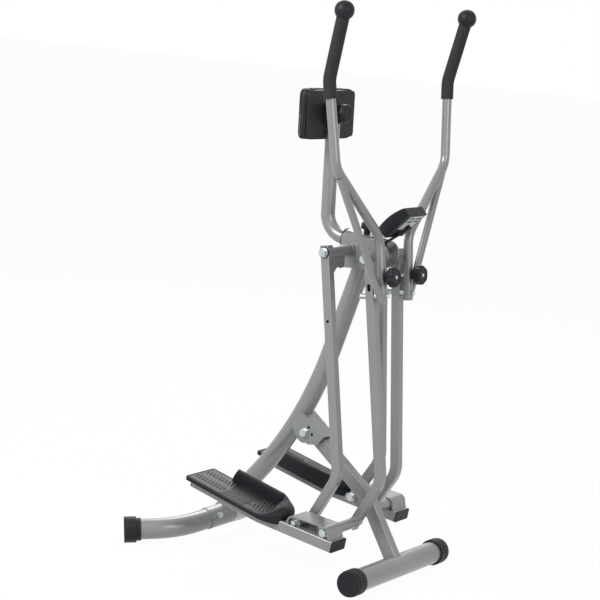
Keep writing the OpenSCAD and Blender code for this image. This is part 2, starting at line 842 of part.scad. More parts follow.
module console_screen() {
    color(smoke) in_place() console_frame() intersection() {
        screen_space(fit);
        translate([0, arch_mid[0], arch_mid[1]]) across(-screen_width, screen_width, arch_r, $fn = 240);
    }
}

module console_base() {
    half = console_width / 2;
    color(black) in_place() console_frame() difference() {
        translate([-half, 0, 0]) cube([2 * half, console_length, console_base_t]);
        translate([console_wall - half, console_wall, console_wall])
            cube([2 * (half - console_wall), console_length - 2 * console_wall, console_base_t]);
    }
}

module battery_cover() {
    cover_t = 2.5;
    cover_from = stub_at - stub_r - 5;
    color(grey) in_place() console_frame() difference() {
        translate([-31, cover_from, -cover_t]) cube([62, console_length - cover_from - 5, cover_t]);
        translate([0, stub_at, -cover_t - past]) cylinder(cover_t + 2 * past, stub_r + fit, stub_r + fit);
    }
}

module console_button() {
    inner_top = console_rear[1] - console_wall - 0.4;
    color(grey) in_place() console_frame() translate([0, button_at, 0]) {
        translate([0, 0, inner_top - 12]) cylinder(12 + console_wall + 4, button_r, button_r);
        translate([0, 0, inner_top - button_flange - 0.2])
            cylinder(button_flange, button_r + 1.5, button_r + 1.5);
    }
}

// Hand knob on its stem: Z runs out of the piece that it holds, from the stem's tip
module hand_knob(stem, stand, diameter, length) {
    cylinder(stem + stand + 2, stem_r, stem_r);
    translate([0, 0, stem]) {
        cylinder(stand + 2, diameter / 4, diameter / 4);
        translate([0, 0, stand]) {
            cylinder(length - 3, diameter / 2, diameter / 2);
            cylinder(length, diameter / 2 - 3, diameter / 2 - 3);
        }
    }
}

module post_lock_knob() {
    tip = post_r + side_gap + 0.2;
    color(black) in_place() guide_frame() translate([0, 0, lock_depth]) rotate([0, -90, 0])
        translate([0, 0, tip]) hand_knob(guide_r + side_gap + 0.5 - tip, 12, lock_knob_d, 18);
}

// Belly pad on its post: the pad's frame has Z along the post and Y towards the user

module pad_frame() { in_place() at(pad_at) rotate([post_lean, 0, 0]) children(); }

module pad_post() {
    top = pad_at + post_up_dir * (sleeve_above - sleeve_top_t - side_gap);
    color(paint) in_place()
        sweep(in_planes([post_mouth - post_dir * post_inside, post_corner, top]), [post_bend_r])
            pipe(post_r, tube_wall);
}

module pad_bracket() {
    color(black) pad_frame() difference() {
        union() {
            translate([0, 0, -sleeve_below]) cylinder(sleeve_below + sleeve_above, sleeve_r, sleeve_r);
            translate([-wing_half, board_y - wing_t, -sleeve_below])
                cube([2 * wing_half, wing_t, sleeve_below + sleeve_above]);
        }
        translate([0, 0, -sleeve_below - past])
            cylinder(sleeve_below + sleeve_above - sleeve_top_t + past, post_r + fit, post_r + fit);
        translate([0, 0, pad_knob_z]) rotate([90, 0, 0]) cylinder(60, stem_r + fit, stem_r + fit);
    }
}

// What the post and its sleeve take from the board and the cushion
module post_groove(margin) {
    translate([0, 0, -pad_height]) cylinder(2 * pad_height, sleeve_r + margin, sleeve_r + margin);
}

module pad_board() {
    color(black) pad_frame() difference() {
        translate([0, board_y + board_t, 0]) rotate([90, 0, 0]) linear_extrude(board_t)
            rounded([pad_width - 12, pad_height - 12], 12);
        post_groove(fit);
    }
}

// The cushion is a stack of rings: each is the pad's outline, drawn in at the middle of its
// sides, at a share of full size and a share of the full thickness
cushion_steps = 48;
cushion_rings = [[0.95, 0], [0.985, 0.12], [1, 0.3], [1, 0.5], [0.985, 0.66], [0.95, 0.78],
                 [0.86, 0.88], [0.66, 0.95], [0.36, 0.99]];
function cushion_point(t, share) = let (c = cos(t), s = sin(t), power = 0.25,
        draw = 1 - 0.018 * cos(2 * t) * cos(2 * t))
    [sign(c) * pow(abs(c), power) * pad_width / 2 * draw * share,
     sign(s) * pow(abs(s), power) * pad_height / 2 * draw * share];
module cushion_solid() {
    last = len(cushion_rings) - 1;
    points = concat(
        [for (ring = cushion_rings, i = [0 : cushion_steps - 1])
            let (p = cushion_point(360 * (i + 0.5) / cushion_steps, ring[0]))
                [p[0], ring[1] * pad_thickness, p[1]]],
        [[0, 0, 0], [0, pad_thickness, 0]]);
    front = len(points) - 2;
    polyhedron(points, concat(
        [for (i = [0 : cushion_steps - 1]) [front, (i + 1) % cushion_steps, i]],
        [for (i = [0 : cushion_steps - 1])
            [front + 1, last * cushion_steps + i, last * cushion_steps + (i + 1) % cushion_steps]],
        [for (j = [0 : last - 1], i = [0 : cushion_steps - 1])
            [j * cushion_steps + i, j * cushion_steps + (i + 1) % cushion_steps, (j + 1) * cushion_steps + i]],
        [for (j = [0 : last - 1], i = [0 : cushion_steps - 1])
            [j * cushion_steps + (i + 1) % cushion_steps, (j + 1) * cushion_steps + (i + 1) % cushion_steps,
             (j + 1) * cushion_steps + i]]));
}

module pad_cushion() {
    color(vinyl) pad_frame() difference() {
        translate([0, cushion_y, 0]) cushion_solid();
        post_groove(side_gap);
    }
}

module pad_knob() {
    tip = post_r + side_gap;
    color(black) pad_frame() translate([0, 0, pad_knob_z]) rotate([90, 0, 0])
        translate([0, 0, tip]) hand_knob(sleeve_r + side_gap - tip, 4, pad_knob_d, 18);
}

// Walking sides

// An arm, across X at its own distance: the tube with its closed ends
module arm_tube(x) {
    low_end = low + low_dir * low_past;
    sweep(in_planes([[0, arm_above], [0, -arm_bend_drop], low_end], x), [arm_bend_r])
        box_tube([arm_size, arm_size], arm_round, arm_wall);
    for (end = [[[0, arm_above], [0, -1]], [low_end, -low_dir]])
        aligned(in_plane(end[0], x), in_plane(end[1]), [1, 0, 0])
            linear_extrude(end_plate_t) rounded([1, 1] * (arm_size - 2 * arm_wall + 0.4), arm_round / 2);
}

module arm(x, sleeve_end) {
    difference() {
        union() {
            arm_tube(x);
            across(sleeve_in, sleeve_end, sleeve_out_r);
            at(low) across(x, low_sleeve_end, low_sleeve_r);
            children();
        }
        across(0, sleeve_end + past, axle_r + bush_wall);
        at(low) across(x - arm_size, low_sleeve_end + past, low_pin_r + run_fit);
    }
}

module front_arm(side) {
    color(paint) on_front_arm(side) difference() {
        arm(front_arm_x, front_sleeve_end);
        for (z = [knob_z, bolt_z]) translate([front_arm_x, 0, z]) rotate([90, 0, 0])
            cylinder(2 * arm_size, stem_r + fit, stem_r + fit, center = true);
        // Oval access hole in the outer face
        translate([front_arm_x, 0, -75]) {
            for (z = [-5, 5]) translate([0, 0, z]) across(0, arm_size, 5);
            translate([0, -5, -5]) cube([arm_size, 10, 10]);
        }
    }
}

module rear_arm(side) {
    color(paint) on_rear_arm(side) {
        difference() {
            arm(rear_arm_x, rear_sleeve_end) gusset();
            translate([rear_arm_x, 0, -178]) across(0, arm_size, 4);
        }
    }
}

// Scalloped web under the rear sleeve
module gusset() {
    web_t = 4;
    face = rear_arm_x - arm_half + 1;
    translate([0, web_t / 2, 0]) rotate([90, 0, 0]) linear_extrude(web_t) difference() {
        polygon([[face, -10], [face, -54], [face - 10, -54], [face - 68, -42], [face - 74, -10]]);
        translate([face - 38, -62]) circle(20);
    }
}

// Flanged bushes in both ends of a sleeve
module bushes(sleeve_end) {
    bore = axle_r + run_fit;
    out = axle_r + bush_wall - 0.02;
    color(black) {
        across_tube(sleeve_in - bush_flange, sleeve_in, sleeve_out_r, bore);
        across_tube(sleeve_in - bush_flange, sleeve_in + bush_length, out, bore);
        across_tube(sleeve_end - bush_length, sleeve_end + bush_flange, out, bore);
        across_tube(sleeve_end, sleeve_end + bush_flange, sleeve_out_r, bore);
    }
}

module handlebar(side) {
    color(paint) on_front_arm(side) difference() {
        union() {
            sweep(bar_path, bar_bends, [0, 1, 0]) pipe(bar_r, bar_wall);
            translate(bar_path[0]) cylinder(end_plate_t, bar_r - bar_wall + 0.2, bar_r - bar_wall + 0.2);
        }
        for (z = [knob_z, bolt_z]) translate([front_arm_x, bar_y, z]) rotate([90, 0, 0])
            cylinder(2 * bar_d, stem_r + fit, stem_r + fit, center = true);
    }
}

// What the handlebar's own tube takes from the pieces that seat on it
module bar_space() { sweep(bar_path, bar_bends, [0, 1, 0]) bar(bar_r); }

module brace(side) {
    color(paint) on_front_arm(side) difference() {
        aligned(brace_foot, brace_top - brace_foot, [0, 1, 0]) difference() {
            cylinder(norm(brace_top - brace_foot), brace_r, brace_r);
            translate([0, 0, 3]) cylinder(norm(brace_top - brace_foot), brace_r - bar_wall, brace_r - bar_wall);
        }
        bar_space();
    }
}

module grip(side) {
    color(black) on_front_arm(side)
        sweep([grip_start, bar_path[3], bar_end - bar_end_dir * 2], [bar_bends[2]], [0, 1, 0])
            difference() {
                circle(grip_d / 2 - $thin);
                circle(bar_r + fit + $thin);
            }
}

module ball(side) {
    color(black) on_front_arm(side) aligned(bar_end, bar_end_dir, [0, 1, 0]) difference() {
        translate([0, 0, ball_stand]) sphere(ball_r);
        translate([0, 0, -ball_r - past]) cylinder(ball_r, ball_r, ball_r);
        translate([0, 0, -ball_r]) cylinder(ball_r + ball_seat, bar_r + fit, bar_r + fit);
    }
}

module knob(side) {
    front = -bar_y + bar_r;
    color(black) on_front_arm(side) translate([front_arm_x, 0, knob_z]) rotate([90, 0, 0])
        translate([0, 0, -8]) hand_knob(front + side_gap + 8, knob_stand, knob_d, knob_length);
}

module handle_bolt(side) {
    front = -bar_y + bar_r;
    back = arm_half;
    on_front_arm(side) {
        color(zinc) translate([front_arm_x, 0, bolt_z]) rotate([90, 0, 0]) {
            translate([0, 0, -back - bolt_spacer - 2]) cylinder(front + back + bolt_spacer + 4, stem_r, stem_r);
            translate([0, 0, front + 0.1]) cap_nut(13, 9);
            translate([0, 0, -back - bolt_spacer - 0.1]) mirror([0, 0, 1]) cap_nut(13, 11);
            translate([0, 0, -back - bolt_spacer - 0.1]) cylinder(bolt_spacer, 7, 7);
        }
        color(black) for (z = [knob_z, bolt_z]) difference() {
            translate([front_arm_x, -arm_half - 0.1, z]) rotate([90, 0, 0])
                cylinder(saddle_t + bar_r / 2, saddle_r, saddle_r);
            bar_space();
            aligned(brace_foot, brace_top - brace_foot, [0, 1, 0])
                cylinder(norm(brace_top - brace_foot), brace_r, brace_r);
            translate([front_arm_x, 0, z]) rotate([90, 0, 0]) cylinder(60, stem_r + fit, stem_r + fit);
        }
    }
}

// Both low pivot bolts of a side, held in the pedal's bushes
module low_bolts(side) {
    head_in = hoop_bush_out + washer_t;
    // Each pivot's place, its arm's distance, its height above the rail and its head's width
    color(zinc) on_pedal(side) for (pivot = [[[0, 0], front_arm_x, rail_drop, 19],
                                             [rear_low, rear_arm_x, rear_low_drop, 12]]) {
        nut_out = pivot[1] - arm_half - side_gap;
        at(pivot[0]) {
            across(nut_out - washer_t - head_t, head_in, low_pin_r);
            outward(hoop_bush_out) washer(pivot[2] - side_gap, low_pin_r - 1, washer_t);
            outward(head_in) hex_head(pivot[3], head_t);
            inward(nut_out) washer(12, low_pin_r - 1, washer_t);
            inward(nut_out - washer_t) hex_head(19, head_t);
        }
    }
}

module rail_sweep() {
    sweep(in_planes([rail_start, rail_corner, rail_end], pedal_x), [rail_bend_r]) children();
}

module rail(side) {
    color(paint) on_pedal(side) rail_sweep() box_tube([rail_height, rail_width], rail_round, rail_wall);
}

module rail_space(margin) {
    rail_sweep() rounded([rail_height, rail_width] + [2, 2] * (margin - $thin), rail_round);
}

// Strap over the low pivots, welded to the rail, with the bushes that turn on the bolts
module hoop_outline(r) {
    circle(r);
    translate(rear_low) circle(r);
    across_dir = unit([-rear_low[1], rear_low[0]]);
    polygon([[0, 0] + across_dir * r, rear_low + across_dir * r, rear_low + [r, -2], rear_low + [r + 1, -30],
             [-r - 5, -30], [-r, -4]]);
}
module hoop(side) {
    color(paint) on_pedal(side) difference() {
        union() {
            plate(rail_in, rail_out) difference() {
                hoop_outline(hoop_out_r);
                hoop_outline(hoop_in_r);
            }
            for (pivot = [[0, 0], rear_low]) at(pivot) across(hoop_bush_in, hoop_bush_out, sleeve_out_r);
        }
        for (pivot = [[0, 0], rear_low]) at(pivot) across(0, rail_out + past, low_pin_r + fit);
        // The rail's own place, and all below its top
        at(rail_mid_at) rotate([rail_front_slope, 0, 0])
            translate([0, -200, -60]) cube([400, 500, 60 + bend_thin + rail_height / 2]);
    }
}

module rail_caps(side) {
    color(black) on_pedal(side) for (end = [[rail_start, rail_front_dir], [rail_end, -rail_rear_dir]])
        aligned(in_plane(end[0], pedal_x), in_plane(end[1]), [1, 0, 0]) {
            translate([0, 0, -cap_t - bend_thin]) linear_extrude(cap_t)
                rounded([rail_height, rail_width], rail_round);
            translate([0, 0, -past]) linear_extrude(12 + past)
                rounded([rail_height, rail_width] - [2, 2] * (rail_wall + fit), rail_round / 2);
        }
}

// Pedal: its frame lies on the rail's rear part, Y back from the rail's bend, Z up from its top
module pedal_frame(side) {
    on_pedal(side) at(rail_corner) rotate([rail_rear_slope, 0, 0])
        translate([pedal_x, 0, rail_height / 2 + pedal_t]) children();
}

module pedal(side) {
    half = pedal_width / 2;
    toe_mid = pedal_front + half - toe_reach;
    pedal_end = rail_rear_length + pedal_past;
    corner_r = 8;
    color(black) difference() {
        pedal_frame(side) {
            // Plate with a deeper rim, round at the toe
            translate([0, 0, -pedal_skirt]) linear_extrude(pedal_skirt) {
                translate([-half, toe_mid]) square([pedal_width, pedal_end - toe_mid - corner_r]);
                translate([corner_r - half, toe_mid])
                    square([pedal_width - 2 * corner_r, pedal_end - toe_mid]);
                for (x = [corner_r - half, half - corner_r])
                    translate([x, pedal_end - corner_r]) circle(corner_r);
                translate([0, toe_mid]) circle(half);
            }
            // Toe cup
            difference() {
                hull() {
                    for (angle = [180 : 30 : 360]) translate([0, toe_mid, 0]) rotate(angle)
                        translate([half - toe_r, 0, 0]) sphere(toe_r, $fn = 24);
                    for (angle = [180 : 30 : 360]) translate([0, toe_mid + 24, toe_height - 10]) rotate(angle)
                        translate([half - 16, 0, 0]) sphere(8, $fn = 16);
                }
                translate([0, toe_mid + 16, 0]) cylinder(60, half - toe_wall, half - toe_wall);
                translate([-half, toe_mid, -60]) cube([pedal_width, 60, 120]);
                translate([-half, toe_mid - 80, -60]) cube([pedal_width, 160, 60 - pedal_skirt]);
            }
            // Cheeks that run back from the toe cup
            for (x = [-half, half - toe_wall]) translate([x, toe_mid - 4, -past]) rotate([90, 0, 90])
                linear_extrude(toe_wall) polygon([[0, 0], [0, toe_height - 8], [12, toe_height - 10], [42, 0]]);
            // Inner guard
            translate([-half, toe_mid + 30, -past]) rotate([90, 0, 90]) linear_extrude(guard_t)
                polygon([[0, 0], [0, toe_height - 2], [12, guard_height], [guard_length - 20, guard_height],
                         [guard_length - 4, guard_height - 10], [guard_length, 0]]);
        }
        on_pedal(side) {
            rail_space(fit);
            aligned(in_plane(rail_end, pedal_x), in_plane(rail_rear_dir), [1, 0, 0]) linear_extrude(cap_t + side_gap)
                rounded([rail_height, rail_width] + [2, 2] * fit, rail_round);
            plate(rail_in - side_gap, rail_out + side_gap) hoop_outline(hoop_out_r + side_gap);
        }
    }
}

main_tube();
hub_plates();
post_guide();
post_bush();
front_axle();
axle_spacer();
rear_axles();
axle_bolts();
rear_sleeve();
rear_legs();
rear_foot_caps();
rear_foot_bolts();
fold_bracket();
fold_pivot();
lock_pin();
front_leg();
front_foot_tube();
front_foot_caps();
console_bracket();
console_base();
console_case();
console_screen();
battery_cover();
console_button();
post_lock_knob();
pad_post();
pad_bracket();
pad_board();
pad_cushion();
pad_knob();
front_arm(RIGHT);  // right_front_arm
on_front_arm(RIGHT) bushes(front_sleeve_end);  // right_front_bushes
handlebar(RIGHT);  // right_handlebar
brace(RIGHT);  // right_brace
grip(RIGHT);  // right_grip
ball(RIGHT);  // right_ball
knob(RIGHT);  // right_knob
handle_bolt(RIGHT);  // right_handle_bolt
rear_arm(RIGHT);  // right_rear_arm
on_rear_arm(RIGHT) bushes(rear_sleeve_end);  // right_rear_bushes
low_bolts(RIGHT);  // right_low_bolts
rail(RIGHT);  // right_rail
hoop(RIGHT);  // right_hoop
pedal(RIGHT);  // right_pedal
rail_caps(RIGHT);  // right_rail_caps
front_arm(LEFT);  // left_front_arm
on_front_arm(LEFT) bushes(front_sleeve_end);  // left_front_bushes
handlebar(LEFT);  // left_handlebar
brace(LEFT);  // left_brace
grip(LEFT);  // left_grip
ball(LEFT);  // left_ball
knob(LEFT);  // left_knob
handle_bolt(LEFT);  // left_handle_bolt
rear_arm(LEFT);  // left_rear_arm
on_rear_arm(LEFT) bushes(rear_sleeve_end);  // left_rear_bushes
low_bolts(LEFT);  // left_low_bolts
rail(LEFT);  // left_rail
hoop(LEFT);  // left_hoop
pedal(LEFT);  // left_pedal
rail_caps(LEFT);  // left_rail_caps
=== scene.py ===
"""Looks of the cross trainer: finishes, pedals, pad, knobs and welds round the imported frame."""

import json
import logging
import math
from dataclasses import dataclass, field
from enum import Enum

import bpy
import numpy as np
from mathutils import Matrix, Vector


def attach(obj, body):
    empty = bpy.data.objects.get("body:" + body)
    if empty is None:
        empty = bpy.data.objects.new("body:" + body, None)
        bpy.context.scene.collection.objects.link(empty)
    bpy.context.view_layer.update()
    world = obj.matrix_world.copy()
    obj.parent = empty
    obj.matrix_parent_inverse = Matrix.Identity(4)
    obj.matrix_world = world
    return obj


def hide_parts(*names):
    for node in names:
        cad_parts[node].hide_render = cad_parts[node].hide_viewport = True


log = logging.getLogger("trainer")
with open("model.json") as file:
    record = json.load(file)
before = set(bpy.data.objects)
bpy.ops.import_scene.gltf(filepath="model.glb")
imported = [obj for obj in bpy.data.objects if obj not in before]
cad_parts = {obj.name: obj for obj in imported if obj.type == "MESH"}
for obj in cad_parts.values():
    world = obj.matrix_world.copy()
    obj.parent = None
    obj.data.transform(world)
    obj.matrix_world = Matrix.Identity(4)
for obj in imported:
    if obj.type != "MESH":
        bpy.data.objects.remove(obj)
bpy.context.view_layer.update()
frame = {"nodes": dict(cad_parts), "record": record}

MM = 0.001
FULL_TURN = 2 * math.pi
START_TURN = 0.01
ACROSS = (1.0, 0, 0)

# Places in the axes of the part's source, in millimetres and degrees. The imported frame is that
# source, tilted about the front foot's middle and moved so that its origin lies at MIDDLE_Y.
FOOT_Z = 35.0
FLOOR_TILT = 5.73
MIDDLE_Y = 343.33774668256603
PIVOT_Y = 31.8
PIVOT_Z = 853.6
PIVOT_SPAN = 88.5
PIVOT_RISE = 17.5
HUB_PAST_PIVOT = 23.7
HUB_BACK = PIVOT_Y + PIVOT_SPAN + HUB_PAST_PIVOT
REAR_PIVOT_Z = PIVOT_Z + PIVOT_RISE


class Side(Enum):
    """The two walking sides; the value is the sign of X."""
    RIGHT = -1
    LEFT = 1

    @property
    def label(self) -> str:
        """The side's name in the frame's node names."""
        return self.name.lower()


class Slot(Enum):
    """The record's material slots."""
    PAINT = "paint"
    BLACK = "black_plastic"
    FOAM = "foam"
    VINYL = "vinyl"
    ZINC = "zinc"
    GREY = "grey_plastic"
    SCREEN = "screen"


def turned(y: np.ndarray, z: np.ndarray, degrees: float) -> tuple[np.ndarray, np.ndarray]:
    """Turns places in the Y-Z plane about X.

    Args:
        y: Distances back.
        z: Heights.
        degrees: The angle, from Y towards Z.

    Returns:
        The turned distances and heights.
    """
    c, s = math.cos(math.radians(degrees)), math.sin(math.radians(degrees))
    return y * c - z * s, y * s + z * c


def level(x: np.ndarray, y: np.ndarray, z: np.ndarray) -> np.ndarray:
    """Puts places in millimetres, in the axes of the part's source, on the level floor in metres.

    Args:
        x: Distances across.
        y: Distances behind the front foot.
        z: Heights.

    Returns:
        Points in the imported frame, with the last axis of three.
    """
    flat_y, flat_z = turned(y, z - FOOT_Z, -FLOOR_TILT)
    x, flat_y, flat_z = np.broadcast_arrays(x, flat_y - MIDDLE_Y, flat_z + FOOT_Z)
    return np.stack([x, flat_y, flat_z], -1) * MM


def unit(vector: np.ndarray) -> np.ndarray:
    """The vector at length 1."""
    return vector / np.linalg.norm(vector)


def smoothstep(x: np.ndarray, low: float, high: float) -> np.ndarray:
    """Rises smoothly from 0 at low to 1 at high, as 3t^2 - 2t^3.

    Args:
        x: Where to take it.
        low: Where the rise starts.
        high: Where it ends.

    Returns:
        Values from 0 to 1.
    """
    t = np.clip((x - low) / (high - low), 0, 1)
    return t * t * (3 - 2 * t)


def around(count: int, start: float = 0.0) -> np.ndarray:
    """Angles of a ring of points that closes on itself."""
    return np.linspace(0, FULL_TURN, count, endpoint=False) + start


def superellipse(t: np.ndarray, power: float, half_x: float, half_y: float) -> tuple[np.ndarray, np.ndarray]:
    """A rounded rectangle: the cosine and sine of t, each with its size raised to a power.

    Args:
        t: Angles round it.
        power: The power; the smaller it is, the sharper the corners.
        half_x: Half the width.
        half_y: Half the height.

    Returns:
        Places along the width and along the height.
    """
    c, s = np.cos(t), np.sin(t)
    return np.sign(c) * np.abs(c) ** power * half_x, np.sign(s) * np.abs(s) ** power * half_y


def grid_faces(rows: int, columns: int, round_rows: bool = False, round_columns: bool = False) -> list:
    """Quads of a grid of points, row by row.

    Args:
        rows: Number of rows of points.
        columns: Number of points in a row.
        round_rows: Whether the last row joins the first.
        round_columns: Whether each row closes on itself.

    Returns:
        Lists of four indices a face.
    """
    i = np.arange(rows if round_rows else rows - 1)[:, None]
    j = np.arange(columns if round_columns else columns - 1)[None, :]
    i2, j2 = (i + 1) % rows, (j + 1) % columns
    faces = np.stack([i * columns + j, i * columns + j2, i2 * columns + j2, i2 * columns + j], -1)
    return faces.reshape(-1, 4).tolist()


def end_faces(rows: int, columns: int) -> list:
    """The two faces that close a grid at its first and last row."""
    last = (rows - 1) * columns
    return [list(range(columns)), list(range(last, last + columns))]


def ring_faces(rows: int, columns: int) -> list:
    """Faces of a stack of rings, closed at both ends."""
    return grid_faces(rows, columns, round_columns=True) + end_faces(rows, columns)


def make_mesh(name: str, points: np.ndarray, faces: list, weld: float = 0.0,
              shade_angle: float = 50) -> bpy.types.Object:
    """Makes a mesh object at the origin, with outward normals and smooth shading.

    Args:
        name: The object's name.
        points: Its points in metres.
        faces: Lists of point indices.
        weld: Distance in metres within which points are merged.
        shade_angle: Edges sharper than this, in degrees, stay sharp.

    Returns:
        The new object, linked to the scene.
    """
    mesh = bpy.data.meshes.new(name)
    mesh.from_pydata(points.reshape(-1, 3).tolist(), [], faces)
    piece = bpy.data.objects.new(name, mesh)
    bpy.context.scene.collection.objects.link(piece)
    bpy.ops.object.select_all(action="DESELECT")
    bpy.context.view_layer.objects.active = piece
    piece.select_set(True)
    bpy.ops.object.mode_set(mode="EDIT")
    bpy.ops.mesh.select_all(action="SELECT")
    if weld:
        bpy.ops.mesh.remove_doubles(threshold=weld)
    bpy.ops.mesh.normals_make_consistent(inside=False)
    bpy.ops.object.mode_set(mode="OBJECT")
    bpy.ops.object.shade_smooth_by_angle(angle=math.radians(shade_angle))
    return piece


def apply_modifier(piece: bpy.types.Object, kind: str, **settings: object) -> None:
    """Adds a modifier to a piece and applies it.

    Args:
        piece: The piece.
        kind: The modifier's kind.
        settings: Its properties, set in this order.
    """
    modifier = piece.modifiers.new(kind.lower(), kind)
    for key, value in settings.items():
        setattr(modifier, key, value)
    bpy.context.view_layer.objects.active = piece
    bpy.ops.object.modifier_apply(modifier=modifier.name)


def tube(centres: np.ndarray, radius: np.ndarray, sides: int, up: tuple) -> tuple[np.ndarray, list]:
    """A round bar along a path: each ring stands square to the path, at the radius given for it.

    Args:
        centres: The path's points.
        radius: A radius for each point, or one for all.
        sides: Points in a ring.
        up: A direction that the path never runs along.

    Returns:
        The points and faces, closed at both ends.
    """
    along = np.gradient(centres, axis=0)
    along /= np.linalg.norm(along, axis=1, keepdims=True)
    side = np.cross(along, np.array(up, float))
    side /= np.linalg.norm(side, axis=1, keepdims=True)
    other = np.cross(side, along)
    angle = around(sides)
    ring = side[:, None] * np.cos(angle)[:, None] + other[:, None] * np.sin(angle)[:, None]
    points = centres[:, None] + ring * np.broadcast_to(radius, len(centres))[:, None, None]
    return points, ring_faces(len(centres), sides)


@dataclass
class Graph:
    """A node tree, with short ways to add nodes and to fill their sockets."""
    tree: bpy.types.NodeTree

    def fill(self, node: bpy.types.Node, inputs: dict) -> None:
        """Links or sets a node's inputs.

        Args:
            node: The node.
            inputs: A socket to link, or a value to set, for each input's name or number.
        """
        for key, value in inputs.items():
            if isinstance(value, bpy.types.NodeSocket):
                self.tree.links.new(value, node.inputs[key])
            else:
                node.inputs[key].default_value = value

    def add(self, kind: str, inputs: dict, **settings: object) -> bpy.types.Node:
        """Adds a shader node.

        Args:
            kind: The node's kind, without the word ShaderNode.
            inputs: A socket or a value for each input's name or number.
            settings: The node's own properties, set before its inputs.

        Returns:
            The new node.
        """
        node = self.tree.nodes.new("ShaderNode" + kind)
        for key, value in settings.items():
            setattr(node, key, value)
        self.fill(node, inputs)
        return node

    def maths(self, operation: str, first: object, second: object) -> bpy.types.NodeSocket:
        """Adds a maths node and gives its result."""
        return self.add("Math", {0: first, 1: second}, operation=operation).outputs[0]

    def mixed(self, share: object, first: object, second: object) -> bpy.types.NodeSocket:
        """Adds a colour mix and gives its result."""
        return self.add("Mix", {"Factor": share, "A": first, "B": second}, data_type="RGBA").outputs["Result"]

    def seen(self) -> bpy.types.NodeSocket:
        """Adds the nodes that are 1 where the camera, gloss or glass sees the studio."""
        path = self.add("LightPath", {})
        total = path.outputs["Is Camera Ray"]
        for name in ("Is Glossy Ray", "Is Transmission Ray"):
            total = self.add("Math", {0: total, 1: path.outputs[name]}, operation="ADD",
                             use_clamp=True).outputs[0]
        return total


@dataclass(frozen=True)
class Finish:
    """A painted, moulded or plated finish, made of noise on Object coordinates.

    Colours are linear. The grain is a fine noise that moves the colour and the bump; the cloud
    is a slow one that moves the roughness. A finish can be painted paler where the attribute
    "tops" is 1: a painted highlight on the raised ridge tops, where light catches them.
    """
    name: str
    dark: tuple
    light: tuple
    roughness: tuple
    grain: float
    bump: float
    metallic: float = 0.0
    coat: float = 0.0
    coat_roughness: float = 0.14
    gloss: float = 0.5
    # Whether to paint the ridge tops paler, a painted highlight where they catch the light.
    painted_highlight: bool = False
    cells: bool = False
    streak: tuple = (1, 1, 1)
    # The colour painted on the ridge tops: a painted highlight, lighter than the tread plastic.
    highlit: tuple = (0.05, 0.052, 0.051)
    grain_detail: float = 4.0
    cloud: float = 9.0
    cloud_detail: float = 5.0
    bump_reach: float = 0.0004

    def grained(self, graph: Graph, place: bpy.types.NodeSocket) -> bpy.types.NodeSocket:
        """Adds the fine noise, or cells where the finish has them."""
        inputs = {"Vector": place, "Scale": self.grain}
        if self.cells:
            return graph.add("TexVoronoi", inputs, feature="F1").outputs["Distance"]
        return graph.add("TexNoise", inputs | {"Detail": self.grain_detail}).outputs["Fac"]

    def build(self) -> bpy.types.Material:
        """Makes the material.

        Returns:
            The material with its nodes.
        """
        material = bpy.data.materials.new(self.name)
        material.use_nodes = True
        graph = Graph(material.node_tree)
        shader = graph.tree.nodes["Principled BSDF"]
        place = graph.add("Mapping", {"Vector": graph.add("TexCoord", {}).outputs["Object"],
                                      "Scale": self.streak}).outputs["Vector"]
        grain = self.grained(graph, place)
        cloud = graph.add("TexNoise", {"Vector": place, "Scale": self.cloud,
                                       "Detail": self.cloud_detail}).outputs["Fac"]
        mean = graph.maths("MULTIPLY", graph.maths("ADD", grain, cloud), 0.5)
        colour = graph.mixed(mean, (*self.dark, 1), (*self.light, 1))
        # Painted highlight: paler colour on the raised ridge tops, where "tops" is 1.
        if self.painted_highlight:
            tops = graph.add("Attribute", {}, attribute_name="tops").outputs["Fac"]
            colour = graph.mixed(tops, colour, (*self.highlit, 1))
        rough = graph.add("MapRange", {"Value": cloud, "To Min": self.roughness[0],
                                       "To Max": self.roughness[1]}).outputs["Result"]
        bump = graph.add("Bump", {"Height": grain, "Strength": self.bump,
                                  "Distance": self.bump_reach}).outputs["Normal"]
        graph.fill(shader, {"Base Color": colour, "Roughness": rough, "Normal": bump,
                            "Metallic": self.metallic, "Coat Weight": self.coat,
                            "Coat Roughness": self.coat_roughness, "Specular IOR Level": self.gloss})
        return material


FINISHES = {
    Slot.PAINT: Finish("silver grey paint", (0.185, 0.187, 0.188), (0.265, 0.268, 0.27), (0.27, 0.42),
                       1400, 0.05, metallic=0.35, coat=0.45),
    Slot.BLACK: Finish("black moulded plastic", (0.006, 0.007, 0.009), (0.014, 0.016, 0.019), (0.36, 0.55),
                       900, 0.25, gloss=0.22),
    Slot.FOAM: Finish("grip foam", (0.012, 0.012, 0.013), (0.024, 0.024, 0.026), (0.55, 0.7),
                      1600, 0.35, gloss=0.25, cells=True),
    Slot.VINYL: Finish("pad vinyl", (0.006, 0.007, 0.009), (0.015, 0.016, 0.019), (0.42, 0.6),
                       520, 0.5, gloss=0.3, cells=True),
    Slot.ZINC: Finish("zinc plate", (0.42, 0.465, 0.49), (0.64, 0.7, 0.72), (0.22, 0.42),
                      500, 0.15, metallic=0.9, streak=(1, 1, 3)),
    Slot.GREY: Finish("grey moulded plastic", (0.42, 0.45, 0.43), (0.55, 0.58, 0.56), (0.42, 0.6),
                      900, 0.2, gloss=0.4),
    Slot.SCREEN: Finish("display window", (0.035, 0.045, 0.043), (0.05, 0.062, 0.06), (0.08, 0.16),
                        60, 0.0, coat=0.6),
}
# Black tread plastic with a painted highlight on its raised ridge tops.
TREAD = Finish("rubbed tread plastic", (0.005, 0.006, 0.007), (0.012, 0.013, 0.015), (0.36, 0.52),
               900, 0.25, gloss=0.3, painted_highlight=True)


